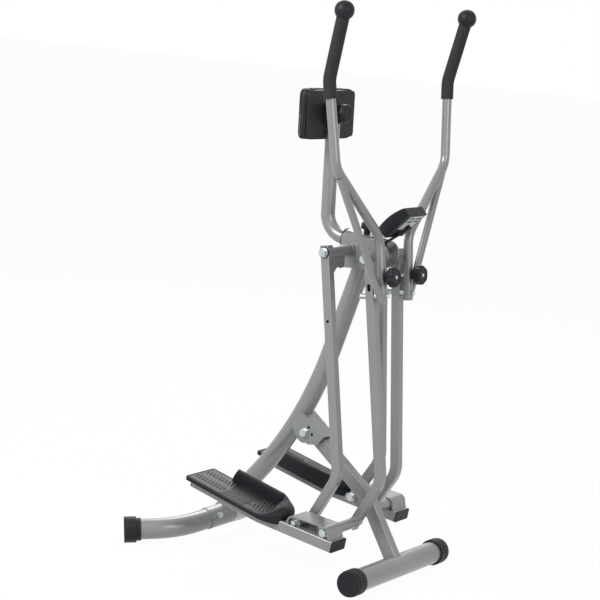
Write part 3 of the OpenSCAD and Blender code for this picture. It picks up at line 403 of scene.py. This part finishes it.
@dataclass
class Dresser:
    """Holds the finishes and puts them on the frame's nodes and on new pieces."""
    materials: dict = field(default_factory=dict)

    def dress_frame(self) -> None:
        """Gives every node of the frame the finish of its slot."""
        self.materials = {kind.value: finish.build() for kind, finish in FINISHES.items()}
        self.materials["tread"] = TREAD.build()
        for part in frame["record"]["subparts"]:
            node = frame["nodes"][part["node"]]
            if not node.material_slots:
                node.data.materials.append(None)
            for place in node.material_slots:
                place.material = self.materials[part["material_slot"]]

    def add(self, piece: bpy.types.Object, body: str, kind: Slot, replaced: tuple = (),
            finish: str = "") -> None:
        """Puts a new piece on its body with its finish.

        Args:
            piece: The new object.
            body: The frame's body that it rides on.
            kind: Its material slot.
            replaced: Nodes of the frame that it stands for.
            finish: The material's key, where it isn't the slot's own.
        """
        piece.data.materials.clear()
        piece.data.materials.append(self.materials[finish or kind.value])
        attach(piece, body)
        if replaced:
            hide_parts(*replaced)
        log.info("%s on %s, %d faces", piece.name, body, len(piece.data.polygons))


@dataclass
class Walk:
    """A walking side's places, in the axes of the part's source.

    The low pivot is measured from the top pivot, and the tread from the rail's corner.
    """
    side: Side
    pivot: tuple = (PIVOT_Y, PIVOT_Z)
    low: tuple = (84.0, -692.0)
    front_slope: float = 14.0
    rear_slope: float = 19.7
    corner_along: float = 204.0
    rail_drop: float = 27.0
    deck_rise: float = 21.0
    pedal_x: float = 202.0
    right_swing: float = -3.1
    left_swing: float = 0.5

    @property
    def swing(self) -> float:
        """How far the side is swung in the pose shown, in degrees."""
        return self.right_swing if self.side is Side.RIGHT else self.left_swing

    def on_arm(self, x: np.ndarray, y: np.ndarray, z: np.ndarray) -> np.ndarray:
        """Points from places on the front arm: x from the middle plane, y and z from the top pivot."""
        ty, tz = turned(y, z, self.swing)
        return level(np.asarray(x) * self.side.value, ty + self.pivot[0], tz + self.pivot[1])

    def on_pedal(self, x: np.ndarray, y: np.ndarray, z: np.ndarray) -> np.ndarray:
        """Points from places on the tread: x outwards from its middle line, y back, z up."""
        low_y, low_z = turned(*self.low, self.swing)
        corner_y, corner_z = turned(self.corner_along, -self.rail_drop, self.front_slope)
        ty, tz = turned(y, z + self.deck_rise, self.rear_slope)
        return level(self.side.value * (np.asarray(x) + self.pedal_x),
                     ty + corner_y + low_y + self.pivot[0], tz + corner_z + low_z + self.pivot[1])


@dataclass
class Bumper:
    """The hump swept round a pedal's toe, whose width shrinks into the guard on the inner side.

    The pairs of places are measured along the path from the end of the toe's arc.
    """
    half: float
    toe_mid: float
    start: float = 16.0
    guard_end: float = 150.0
    toe_width: float = 54.0
    toe_height: float = 30.0
    guard_width: float = 6.0
    guard_height: float = 34.0
    rise_run: float = 95.0
    narrowing: tuple = (-45.0, 20.0)
    handover: tuple = (-30.0, 10.0)
    tip_width: float = 1.0
    tip_gain: float = 9.0
    tip_run: float = 30.0
    tail_round: float = 9.0
    least: float = 0.2
    sink: float = 1.5
    inset: float = 0.15
    wall_power: float = 0.42
    dome_power: float = 0.25
    outer_steps: int = 24
    toe_steps: int = 64
    inner_steps: int = 91
    section_steps: int = 19

    def path(self) -> tuple[np.ndarray, np.ndarray, np.ndarray, np.ndarray]:
        """The path along the deck's edge: the outer side, round the toe, and back on the inner side.

        Returns:
            Places across and back, and the outward direction at each.
        """
        outer = np.linspace(self.start, 0, self.outer_steps, endpoint=False)
        toe = np.linspace(FULL_TURN, math.pi, self.toe_steps)
        inner = np.linspace(0, self.guard_end - self.toe_mid, self.inner_steps + 1)[1:]
        ones, other = np.ones_like(outer), np.ones_like(inner)
        x = np.concatenate([self.half * ones, self.half * np.cos(toe), -self.half * other])
        y = self.toe_mid + np.concatenate([outer, self.half * np.sin(toe), inner])
        nx = np.concatenate([ones, np.cos(toe), -other])
        ny = np.concatenate([0 * ones, np.sin(toe), 0 * other])
        return x, y, nx, ny

    def sizes(self, run: np.ndarray) -> tuple[np.ndarray, np.ndarray]:
        """The section's width and height at each length along the path.

        Args:
            run: Lengths along the path.

        Returns:
            Widths and heights.
        """
        arc_end = self.start + math.pi * self.half
        rise = smoothstep(run, 0, self.rise_run)
        narrow = smoothstep(run, arc_end + self.narrowing[0], arc_end + self.narrowing[1])
        width = self.guard_width + (self.toe_width - self.guard_width) * rise * (1 - narrow)
        width = np.maximum(width, self.tip_width + self.tip_gain * smoothstep(run, 0, self.tip_run))
        guard = smoothstep(run, arc_end + self.handover[0], arc_end + self.handover[1])
        height = self.toe_height * rise * (1 - guard) + self.guard_height * guard
        return width, height * np.sqrt(np.clip((run[-1] - run) / self.tail_round, 0, 1)) + self.least

    def build(self, walk: Walk) -> tuple[np.ndarray, list]:
        """Sweeps the section along the path.

        The section at each place is a power of a sine over its width, so a wide one is a dome
        and a narrow one a wall.

        Args:
            walk: Places the hump on its pedal.

        Returns:
            Points and faces, closed underneath.
        """
        x, y, nx, ny = self.path()
        run = np.concatenate([[0], np.cumsum(np.hypot(np.diff(x), np.diff(y)))])
        width, height = self.sizes(run)
        phase = np.linspace(0, math.pi, self.section_steps)
        across = (1 - np.cos(phase)) / 2
        power = self.wall_power + self.dome_power * (width / self.toe_width)
        inset = self.inset + width[:, None] * across
        z = -self.sink + (height[:, None] + self.sink) * np.sin(phase)[None, :] ** power[:, None]
        points = walk.on_pedal(x[:, None] - nx[:, None] * inset, y[:, None] - ny[:, None] * inset, z)
        rows, columns = points.shape[:2]
        faces = grid_faces(rows, columns)
        faces += [[i * columns, (i + 1) * columns, (i + 2) * columns - 1, (i + 1) * columns - 1]
                  for i in range(rows - 1)]
        return points, faces + end_faces(rows, columns)


@dataclass
class Pedal:
    """A moulded pedal: deck with its tread, rim, and the bumper that runs into the inner guard.

    Each wave is the middle and the swing of a cosine that is clipped to 0 and 1. The line's four
    places, from the edge inwards, are where it starts, is full, fades and ends.
    """
    walk: Walk
    half: float = 65.0
    toe_mid: float = -18.0
    toe_deck: float = 26.0
    rear: float = 221.0
    skirt: float = 11.0
    step_height: float = 4.5
    step_depth: float = 0.8
    flange: float = 14.0
    corner: float = 8.0
    rim_round: float = 2.5
    sink: float = 0.05
    ridge: float = 1.7
    bands: tuple = (30.0, 115.0)
    fade: float = 2.0
    column: float = 25.0
    column_pitch: float = 50.0
    column_wave: tuple = (0.4, 4.0)
    bar_pitch: float = 10.0
    bar_slant: float = 0.4
    bar_wave: tuple = (0.25, 1.5)
    rib_pitch: float = 7.5
    rib_slant: float = 0.11
    rib_wave: tuple = (0.1, 1.3)
    rib_share: float = 0.6
    line: tuple = (3.0, 4.0, 5.5, 6.5)
    line_share: float = 0.6
    side_border: float = 9.0
    rear_border: float = 11.0
    border_fade: float = 1.5
    deck_rows: int = 262
    deck_columns: int = 150

    @staticmethod
    def wave(place: np.ndarray, pitch: float, wave: tuple) -> np.ndarray:
        """A clipped cosine: its middle plus its swing times the cosine of place, once a pitch."""
        return np.clip(wave[0] + wave[1] * np.cos(FULL_TURN * place / pitch), 0, 1)

    def tread(self, x: np.ndarray, y: np.ndarray) -> np.ndarray:
        """Height of the tread: columns of short bars behind and in front, fine ribs between them.

        A bar is a clipped cosine along the pedal times one across it; plain bands part the three
        fields, and the border stays flat but for its raised line.

        Args:
            x: Distances outwards from the middle line.
            y: Distances back from the rail's bend.

        Returns:
            Heights above the deck.
        """
        column = self.wave(x - self.column, self.column_pitch, self.column_wave)
        bars = column * self.wave(y + self.bar_slant * x, self.bar_pitch, self.bar_wave)
        ribs = self.rib_share * self.wave(y - self.rib_slant * x, self.rib_pitch, self.rib_wave)
        (near, far), fade = self.bands, self.fade
        behind = smoothstep(y, far + fade, far + 2 * fade)
        before = 1 - smoothstep(y, near - 2 * fade, near - fade)
        between = smoothstep(y, near + fade, near + 2 * fade)
        between = between * (1 - smoothstep(y, far - 2 * fade, far - fade))
        rows = bars * behind + bars * before + ribs * between
        edge = (smoothstep(self.half - self.side_border - np.abs(x), 0, self.border_fade)
                * smoothstep(self.rear - self.rear_border - y, 0, self.border_fade))
        inwards = np.minimum(self.half - np.abs(x), self.rear - y)
        starts, full, fades, ends = self.line
        line = self.line_share * smoothstep(inwards, starts, full) * (1 - smoothstep(inwards, fades, ends))
        return self.ridge * (rows * edge + line)

    def deck(self) -> tuple[np.ndarray, list, np.ndarray]:
        """The top face: a grid over the tread, drawn in round the toe, with its heights.

        Returns:
            Points, faces, and the share of the ridges' height at each point.
        """
        reach = self.half - self.rim_round
        x = np.linspace(-reach, reach, self.deck_columns)[None, :]
        y = np.linspace(self.toe_mid - self.toe_deck, self.rear - self.rim_round, self.deck_rows)[:, None]
        x, y = np.broadcast_arrays(x, y)
        inside = np.sqrt(np.clip(reach ** 2 - np.clip(self.toe_mid - y, 0, None) ** 2, 1, None))
        x = x * inside / reach
        rise = self.tread(x, y)
        return self.walk.on_pedal(x, y, rise - self.sink), grid_faces(*x.shape), rise / self.ridge

    def outline(self) -> tuple[np.ndarray, np.ndarray, np.ndarray, np.ndarray]:
        """The rim's line: the inner side, round the toe, the outer side and the rear with its corners.

        Returns:
            Places across and back, and the outward direction at each.
        """
        toe = np.linspace(math.pi, FULL_TURN, 49)
        quarter = np.linspace(0, math.pi / 2, 9)
        c, s = np.cos(quarter), np.sin(quarter)
        side, back = self.half - self.corner, self.rear - self.corner
        parts = [(self.half * np.cos(toe), self.toe_mid + self.half * np.sin(toe), np.cos(toe), np.sin(toe)),
                 (side + self.corner * c, back + self.corner * s, c, s),
                 (-side - self.corner * s, back + self.corner * c, -s, c)]
        return tuple(np.concatenate([p[k] for p in parts]) for k in range(4))

    def rim(self) -> tuple[np.ndarray, list]:
        """The rim round the deck: a rounded edge, an upright side with a step, and a flange beneath.

        Returns:
            Points and faces.
        """
        x, y, nx, ny = self.outline()
        quarter = np.linspace(0, math.pi / 2, 6)
        r, low = self.rim_round, -self.skirt
        inset = np.concatenate([[self.flange], r - r * np.sin(quarter),
                                [0, self.step_depth, self.step_depth, self.flange]])
        height = np.concatenate([[-2 * self.sink], r * np.cos(quarter) - r,
                                 [low + self.step_height, low + self.step_height - 0.5, low, low]])
        points = self.walk.on_pedal(x[:, None] - nx[:, None] * inset, y[:, None] - ny[:, None] * inset,
                                    np.broadcast_to(height, (len(x), len(height))))
        return points, grid_faces(*points.shape[:2], round_rows=True)

    def build(self, dresser: Dresser) -> None:
        """Makes the pedal's pieces and puts them on its body.

        Args:
            dresser: Gives the pieces their finish.
        """
        label = self.walk.side.label
        body = label + "_pedal"
        bumper = Bumper(self.half, self.toe_mid).build(self.walk)
        for name, made, replaced in (("pedal_rim", self.rim(), (body,)), ("pedal_bumper", bumper, ())):
            dresser.add(make_mesh(label + "_" + name, *made, weld=1e-5), body, Slot.BLACK, replaced)
        points, faces, tops = self.deck()
        tread = make_mesh(label + "_pedal_tread", points, faces)
        # The ridges' height share, which the tread finish uses to paint its highlight on the tops.
        tread.data.attributes.new("tops", "FLOAT", "POINT").data.foreach_set("value", tops.ravel())
        dresser.add(tread, body, Slot.BLACK, finish="tread")


@dataclass
class Knob:
    """A hand knob with lobes: a turned profile whose radius swells and sinks round it."""
    name: str
    radius: float
    length: float
    stand: float
    stem: float
    lobes: int = 6
    depth: float = 0.07
    screw: float = 0.0
    stem_radius: float = 4.0
    neck_share: float = 0.48
    collar_share: float = 0.56
    back_round: float = 4.0
    front_round: float = 6.0
    dish: float = 1.2
    least: float = 0.05
    dish_rim: tuple = (8.5, 9.5)
    lobe_clip: float = 0.2
    lobe_start: float = 0.7
    steps: int = 84

    def profile(self) -> tuple[np.ndarray, np.ndarray]:
        """The turned outline, from the stem's tip to the middle of the head's shallow dish.

        Returns:
            Distances along the axis, and the radius at each.
        """
        head = self.stem + self.stand
        end = head + self.length
        back, front = np.linspace(0, math.pi / 2, 6), np.linspace(0, math.pi / 2, 8)
        neck, collar = self.radius * self.neck_share, self.radius * self.collar_share
        along = np.concatenate([[0, 0, self.stem, self.stem, head - 1, head],
                                head + self.back_round - self.back_round * np.cos(back),
                                end - self.front_round + self.front_round * np.sin(front),
                                [end, end - self.dish, end - self.dish]])
        wide = np.concatenate([[self.least, self.stem_radius, self.stem_radius, neck, neck, collar],
                               self.radius - self.back_round + self.back_round * np.sin(back),
                               self.radius - self.front_round + self.front_round * np.cos(front),
                               [self.radius - self.dish_rim[0], self.radius - self.dish_rim[1],
                                self.least]])
        return along, wide

    def screw_profile(self) -> tuple[np.ndarray, np.ndarray]:
        """The outline of the screw's head in the dish: a low dome with a socket.

        Returns:
            Distances along the axis, and the radius at each.
        """
        rise = np.array([-1.6, -0.4, 0.5, 1.1, 1.1, 0.2, 0.2])
        wide = np.array([self.screw, self.screw, self.screw - 0.6, self.screw - 2, 2.4, 2.0, self.least])
        return self.stem + self.stand + self.length - self.dish + rise, wide

    def build(self, dresser: Dresser, node: str, tip: np.ndarray, out: np.ndarray) -> None:
        """Makes the knob in place of its node.

        The radius at an angle is the profile's, less depth times a clipped cosine of lobes.

        Args:
            dresser: Gives the knob its finish.
            node: The frame's node, also the name of its body.
            tip: The stem's tip, in metres.
            out: The direction that the stem points out of the piece, in the Y-Z plane.
        """
        angle = around(self.steps)
        u = unit(np.cross(out, ACROSS))
        round_axis = np.cos(angle)[:, None] * u + np.sin(angle)[:, None] * np.cross(out, u)

        def add(name: str, along: np.ndarray, radius: np.ndarray, kind: Slot, replaced: tuple) -> None:
            """Turns a profile about the axis and adds the piece."""
            points = tip + (along[:, None, None] * out + radius[..., None] * round_axis) * MM
            piece = make_mesh(name, points, ring_faces(len(along), len(angle)), shade_angle=40)
            dresser.add(piece, node, kind, replaced)

        along, wide = self.profile()
        lobed = smoothstep(wide, self.radius * self.lobe_start, self.radius)
        wave = np.clip(np.cos(angle * self.lobes), -1, self.lobe_clip)
        radius = wide[:, None] * (1 - self.depth * lobed[:, None] * (self.lobe_clip - wave[None, :]))
        add(self.name, along, radius, Slot.BLACK, (node,))
        if self.screw:
            along, wide = self.screw_profile()
            add(self.name + "_screw", along, wide[:, None], Slot.ZINC, ())


@dataclass
class Post:
    """The belly pad's post: it slopes up from its guide, bends, and leans up to the pad."""
    mouth: tuple = (HUB_BACK + 2, REAR_PIVOT_Z + 27.5)
    slope: float = 12.0
    lean: float = 4.0
    bend: float = 62.0
    pad_height: float = 1224.0
    lock_along: float = 58.0
    lock_rise: float = 19.5

    def pad_centre(self) -> tuple[float, float]:
        """The pad's middle, up the leaning post from its bend: distance back and height."""
        slope, lean = math.radians(self.slope), math.radians(self.lean)
        corner = (self.mouth[0] + self.bend * math.cos(slope), self.mouth[1] + self.bend * math.sin(slope))
        rise = (self.pad_height - corner[1]) / math.cos(lean)
        return corner[0] - math.sin(lean) * rise, corner[1] + math.cos(lean) * rise

    def lock(self) -> tuple[np.ndarray, np.ndarray]:
        """The lock knob's place on the guide, and the direction that it stands in."""
        c, s = math.cos(math.radians(self.slope)), math.sin(math.radians(self.slope))
        seat = level(0.0, self.mouth[0] - self.lock_along * c - self.lock_rise * s,
                     self.mouth[1] - self.lock_along * s + self.lock_rise * c)
        return seat, unit(level(0.0, -s, c) - level(0.0, 0.0, 0.0))


@dataclass
class Pad:
    """The belly pad's cushion, blown up by a cloth simulation, with piping round its edge.

    The shell's rings are shares of the outline and of the thickness. Each piping is a share of the
    outline and a distance from the pad's back.
    """
    centre: tuple
    lean: float = Post.lean
    width: float = 240.0
    height: float = 134.0
    thickness: float = 26.0
    back: float = 13.3
    gap: float = 0.3
    bulge: float = 1.0
    sleeve: float = 22.9
    clearance: float = 0.4
    voxel: float = 0.005
    cap: float = 0.006
    pressure: float = 4.0
    steps: int = 20
    kept: float = 0.985
    power: float = 0.25
    draw: float = 0.018
    rings: tuple = ((0.02, 0), (0.5, 0), (0.93, 0), (0.965, 0.1), (0.985, 0.28), (0.985, 0.5), (0.96, 0.68),
                    (0.92, 0.78), (0.8, 0.86), (0.5, 0.92), (0.02, 0.94))
    front_piping: tuple = (0.99, 0.72 * thickness)
    back_piping: tuple = (0.985, 1.4)
    piping: float = 1.7
    ring_steps: int = 120
    piping_steps: int = 300

    def place(self, x: np.ndarray, y: np.ndarray, z: np.ndarray) -> np.ndarray:
        """Points from places on the pad: x across, y towards the user, z up the post."""
        ty, tz = turned(y, z, self.lean)
        return level(x, ty + self.centre[0], tz + self.centre[1])

    def edge(self, t: np.ndarray, share: float) -> tuple[np.ndarray, np.ndarray]:
        """The pad's outline: a superellipse that pulls in between its corners, at a share of its size."""
        x, z = superellipse(t, self.power, self.width / 2, self.height / 2)
        draw = share * (1 - self.draw * np.cos(2 * t) ** 2)
        return x * draw, z * draw

    def shell(self) -> tuple[np.ndarray, list]:
        """The cushion before it swells: rings of the outline that crown towards the user.

        Returns:
            Points and faces.
        """
        t = around(self.ring_steps, START_TURN)
        points = []
        for share, rise in self.rings:
            x, z = self.edge(t, share)
            points.append(self.place(x, np.full_like(x, self.back + self.gap + rise * self.thickness), z))
        return np.array(points), ring_faces(len(self.rings), len(t))

    def blown(self, piece: bpy.types.Object) -> np.ndarray:
        """Blows the cushion up as a cloth with pressure inside, and gives its points."""
        cloth = piece.modifiers.new("cloth", "CLOTH")
        cloth.settings.use_pressure = True
        cloth.settings.uniform_pressure_force = self.pressure
        cloth.settings.effector_weights.gravity = 0
        for step in range(1, self.steps + 1):
            bpy.context.scene.frame_set(step)
        swollen = np.zeros(len(piece.data.vertices) * 3)
        evaluated = piece.evaluated_get(bpy.context.evaluated_depsgraph_get())
        evaluated.data.vertices.foreach_get("co", swollen)
        piece.modifiers.remove(cloth)
        bpy.context.scene.frame_set(1)
        return swollen.reshape(-1, 3)

    def swell(self, piece: bpy.types.Object) -> None:
        """Remeshes the cushion and blows it up with the cloth, no further than the cap.

        Args:
            piece: The cushion.
        """
        apply_modifier(piece, "REMESH", mode="VOXEL", voxel_size=self.voxel)
        rest = np.zeros(len(piece.data.vertices) * 3)
        piece.data.vertices.foreach_get("co", rest)
        rest = rest.reshape(-1, 3)
        swollen = self.blown(piece)
        move = swollen - rest
        far = np.linalg.norm(move, axis=1, keepdims=True)
        place = rest + move * np.minimum(1, self.cap / np.maximum(far, 1e-9))
        piece.data.vertices.foreach_set("co", self.held(place).ravel())
        piece.data.update()

    def held(self, points: np.ndarray) -> np.ndarray:
        """Keeps the cushion off its board, off the post's sleeve and inside the pad's own size.

        Args:
            points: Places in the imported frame.

        Returns:
            The places after the board and the sleeve push them.
        """
        origin = self.place(np.zeros(1), np.zeros(1), np.zeros(1))[0]
        towards = self.place(np.zeros(1), np.ones(1), np.zeros(1))[0] - origin
        up = self.place(np.zeros(1), np.zeros(1), np.ones(1))[0] - origin
        local = points - origin
        x, y, z = local[:, 0] / MM, local @ towards / MM ** 2, local @ up / MM ** 2
        x = x * self.kept * self.width / 2 / np.abs(x).max()
        z = z * self.kept * self.height / 2 / np.abs(z).max()
        y = np.clip(y, self.back + self.gap, self.back + self.thickness + self.bulge)
        groove = self.sleeve + self.clearance
        y = np.where(np.abs(x) < groove, np.maximum(y, np.sqrt(np.clip(groove ** 2 - x ** 2, 0, None))), y)
        return self.place(x, y, z)

    def build(self, dresser: Dresser) -> None:
        """Makes the cushion and its piping.

        Args:
            dresser: Gives the pieces their finish.
        """
        cushion = make_mesh("belly_cushion", *self.shell(), weld=1e-5)
        self.swell(cushion)
        apply_modifier(cushion, "SUBSURF", levels=1, render_levels=1)
        bpy.ops.object.shade_smooth()
        dresser.add(cushion, "pad", Slot.VINYL, ("pad_cushion",))
        t = np.linspace(0, FULL_TURN, self.piping_steps)
        pipings = {"pad_front_piping": self.front_piping, "pad_back_piping": self.back_piping}
        for name, (share, y) in pipings.items():
            x, z = self.edge(t, share)
            line = self.place(x, np.full_like(x, self.back + y), z)
            made = tube(line, self.piping * MM, 10, up=(0, 1, 0))
            dresser.add(make_mesh(name, *made, weld=1e-5), "pad", Slot.VINYL)


@dataclass
class KnobSet:
    """The four hand knobs: one on each handlebar, the post's star knob and the pad's round one."""
    arm_x: float = 72.0
    arm_y: float = 8.0
    arm_z: float = -50.0
    pad_y: float = -19.3
    pad_z: float = 4.0

    def build(self, dresser: Dresser, post: Post, pad: Pad) -> None:
        """Makes the knobs in place of their nodes.

        Args:
            dresser: Gives the knobs their finish.
            post: The pad's post, with the star knob's place.
            pad: The pad, with the round knob's place.
        """
        for side in Side:
            tip, next_y = (Walk(side).on_arm(self.arm_x, y, self.arm_z) for y in (self.arm_y, self.arm_y - 1))
            hand = Knob(side.label + "_hand_knob", 25.5, 22, 12, 52.8, screw=5)
            hand.build(dresser, side.label + "_knob", tip, unit(next_y - tip))
        Knob("post_star_knob", 19, 18, 12, 6.3, depth=0.13).build(dresser, "post_lock_knob", *post.lock())
        tip, next_y = (pad.place(0.0, y, self.pad_z) for y in (self.pad_y, self.pad_y - 1))
        back = Knob("pad_hand_knob", 24.5, 18, 4, 3.6, lobes=12, depth=0.02)
        back.build(dresser, "pad_knob", tip, unit(next_y - tip))


@dataclass
class Console:
    """Trim of the console: slots in the battery cover and a seam line round the case."""
    corner: tuple = (PIVOT_Y - 29.3, PIVOT_Z + 52.4)
    slope: float = 38.5
    width: float = 92.0
    length: float = 94.0
    slot_rows: tuple = (69, 81)
    slot_x: tuple = (4, 27)
    slot_half: float = 3.4
    slot_z: tuple = (-2.9, -2.2)
    ease: float = 0.6
    slot_power: float = 0.22
    seam_power: float = 0.08
    seam_height: float = 9.0
    seam_radius: float = 0.5

    def place(self, x: np.ndarray, y: np.ndarray, z: np.ndarray) -> np.ndarray:
        """Points from places on the console: x across, y forwards from its rear edge, z out of its top."""
        dir_y, dir_z = -math.cos(math.radians(self.slope)), math.sin(math.radians(self.slope))
        return level(-np.asarray(x), self.corner[0] + y * dir_y + z * dir_z,
                     self.corner[1] + y * dir_z - z * dir_y)

    def bar(self, x: tuple, y: tuple, z: tuple) -> tuple[np.ndarray, list]:
        """A flat bar with eased edges: rings of a rounded rectangle, drawn in at the top and bottom.

        Args:
            x: Its two ends across.
            y: Its two ends along the console.
            z: Its two heights.

        Returns:
            Points and faces.
        """
        t = around(40, START_TURN)
        half = np.array([x[1] - x[0], y[1] - y[0]]) / 2
        px, py = superellipse(t, self.slot_power, *half)
        eased = 1 - self.ease / half.min()
        rings = [(0.02, 0), (eased, 0), (1, 0.25), (1, 0.75), (eased, 1), (0.02, 1)]
        points = [self.place((x[0] + x[1]) / 2 + px * share, (y[0] + y[1]) / 2 + py * share,
                             np.full_like(px, z[0] + (z[1] - z[0]) * rise)) for share, rise in rings]
        return np.array(points), ring_faces(len(rings), len(t))

    def build(self, dresser: Dresser) -> None:
        """Makes the slots and the seam.

        Args:
            dresser: Gives them their finish.
        """
        for number, y in enumerate(self.slot_rows):
            for side in Side:
                x = sorted(side.value * end for end in self.slot_x)
                made = self.bar(x, (y - self.slot_half, y + self.slot_half), self.slot_z)
                piece = make_mesh("cover_slot_%s_%d" % (side.label, number), *made)
                dresser.add(piece, "frame", Slot.BLACK)
        x, y = superellipse(np.linspace(0, FULL_TURN, 160), self.seam_power, self.width / 2, self.length / 2)
        line = self.place(x, self.length / 2 + y, np.full_like(x, self.seam_height))
        made = tube(line, self.seam_radius * MM, 6, up=(0, 1, 1))
        dresser.add(make_mesh("console_seam", *made, weld=1e-6), "frame", Slot.BLACK)


@dataclass
class Welds:
    """Weld beads: thin bars with ripples, run round the sleeves where they meet the arms.

    Each sleeve's pair is its distance from the middle plane and the bead's own radius.
    """
    bead: float = 1.8
    ripple: float = 0.3
    ripple_turn: float = 1.3
    top: tuple = (60.0, 14.6)
    low: tuple = (84.0, 13.6)

    def ring(self, name: str, centres: np.ndarray, body: str, dresser: Dresser) -> None:
        """Runs a bead along a line; its radius ripples as a sine of the points run.

        Args:
            name: The piece's name.
            centres: The line's points in metres.
            body: The body that it rides on.
            dresser: Gives it the paint.
        """
        radius = (self.bead + self.ripple * np.sin(np.arange(len(centres)) * self.ripple_turn)) * MM
        made = tube(centres, radius, 8, up=(1, 0.01, 0.02))
        dresser.add(make_mesh(name, *made, weld=1e-6), body, Slot.PAINT)

    def build(self, dresser: Dresser) -> None:
        """Runs the beads of both sides.

        Args:
            dresser: Gives the beads the paint.
        """
        t = np.linspace(0, FULL_TURN, 90)
        for side in Side:
            walk = Walk(side)
            for name, (x, r), (y, z) in (("top", self.top, (0, 0)), ("low", self.low, walk.low)):
                line = walk.on_arm(np.full_like(t, x), y + r * np.cos(t), z + r * np.sin(t))
                self.ring("%s_%s_bead" % (side.label, name), line, side.label + "_front_arm", dresser)


@dataclass(frozen=True)
class Lamp:
    """A square soft lamp that faces the part: its place and side in metres, its power in watts."""
    name: str
    place: tuple
    side: float
    power: float

    def hang(self, aim: tuple) -> None:
        """Adds the lamp, turned to face the point given."""
        light = bpy.data.lights.new(self.name, "AREA")
        light.size = self.side
        light.energy = self.power
        lamp = bpy.data.objects.new(self.name, light)
        bpy.context.scene.collection.objects.link(lamp)
        away = Vector(self.place) - Vector(aim)
        turn = away.to_track_quat("Z", "Y").to_matrix().to_4x4()
        lamp.matrix_world = Matrix.Translation(self.place) @ turn


@dataclass
class Studio:
    """Floor, lamps, sky and the camera of the photograph."""
    camera_at: tuple = (-4.61899, -2.66604, 1.25199)
    azimuth: float = 57.36
    pitch: float = 84.54
    roll: float = -0.28
    lens: float = 123.27
    sensor: float = 36.0
    clip_end: float = 60.0
    floor: float = 30.0
    floor_glow: float = 0.96
    floor_grey: float = 0.9
    floor_roughness: float = 0.9
    sky_colour: tuple = (0.92, 0.94, 0.95, 1)
    sky_power: float = 0.35
    aim: tuple = (0, 0, 0.7)
    lamps: tuple = (Lamp("key", (-3.2, 1.1, 3.2), 1.6, 150), Lamp("fill", (-1.6, -3.8, 2.2), 2.4, 50),
                    Lamp("back", (2.6, 1.5, 3.0), 2.0, 60))

    def shoot(self) -> None:
        """Makes the camera, turned with the part onto the level floor."""
        camera = bpy.data.cameras.new("camera")
        camera.lens = self.lens
        camera.sensor_width = self.sensor
        camera.clip_end = self.clip_end
        eye = bpy.data.objects.new("camera", camera)
        bpy.context.scene.collection.objects.link(eye)
        azimuth, pitch, roll, tilt = map(math.radians, (self.azimuth, self.pitch, self.roll, FLOOR_TILT))
        turn = (Matrix.Rotation(-azimuth, 4, "Z") @ Matrix.Rotation(pitch, 4, "X")
                @ Matrix.Rotation(roll, 4, "Z"))
        about = (Matrix.Translation((0, -MIDDLE_Y * MM, FOOT_Z * MM)) @ Matrix.Rotation(-tilt, 4, "X")
                 @ Matrix.Translation((0, 0, -FOOT_Z * MM)))
        eye.matrix_world = about @ Matrix.Translation(self.camera_at) @ turn
        bpy.context.scene.camera = eye

    def sky(self) -> None:
        """Lights the world plainly, and shows white to the camera and to gloss."""
        world = bpy.data.worlds.new("studio")
        world.use_nodes = True
        bpy.context.scene.world = world
        graph = Graph(world.node_tree)
        glow = graph.tree.nodes["Background"]
        graph.fill(glow, {"Color": self.sky_colour, "Strength": self.sky_power})
        white = graph.add("Background", {"Color": (1, 1, 1, 1), "Strength": 1})
        mix = graph.add("MixShader", {"Fac": graph.seen(), 1: glow.outputs[0], 2: white.outputs[0]})
        graph.fill(graph.tree.nodes["World Output"], {"Surface": mix.outputs[0]})

    def ground(self) -> None:
        """Lays the pale floor, which keeps a faint shadow."""
        n, g = self.floor, self.floor_grey
        mesh = bpy.data.meshes.new("floor")
        mesh.from_pydata([(-n, -n, 0), (n, -n, 0), (n, n, 0), (-n, n, 0)], [], [[0, 1, 2, 3]])
        floor = bpy.data.objects.new("floor", mesh)
        bpy.context.scene.collection.objects.link(floor)
        material = bpy.data.materials.new("studio floor")
        material.use_nodes = True
        graph = Graph(material.node_tree)
        shader = graph.tree.nodes["Principled BSDF"]
        graph.fill(shader, {"Base Color": (g, g, g, 1), "Roughness": self.floor_roughness})
        glow = graph.add("Emission", {})
        share = graph.maths("MULTIPLY", graph.seen(), self.floor_glow)
        mix = graph.add("MixShader", {"Fac": share, 1: shader.outputs[0], 2: glow.outputs[0]})
        graph.fill(graph.tree.nodes["Material Output"], {"Surface": mix.outputs[0]})
        mesh.materials.append(material)

    def build(self) -> None:
        """Sets up the studio."""
        self.shoot()
        self.sky()
        self.ground()
        for lamp in self.lamps:
            lamp.hang(self.aim)
        bpy.context.scene.view_settings.view_transform = "Standard"


def main() -> None:
    """Builds the scene round the frame."""
    logging.basicConfig(level=logging.INFO, format="%(message)s")
    Studio().build()
    dresser = Dresser()
    dresser.dress_frame()
    for side in Side:
        Pedal(Walk(side)).build(dresser)
    post = Post()
    pad = Pad(post.pad_centre())
    KnobSet().build(dresser, post, pad)
    pad.build(dresser)
    Console().build(dresser)
    Welds().build(dresser)


if __name__ == "__main__":
    main()
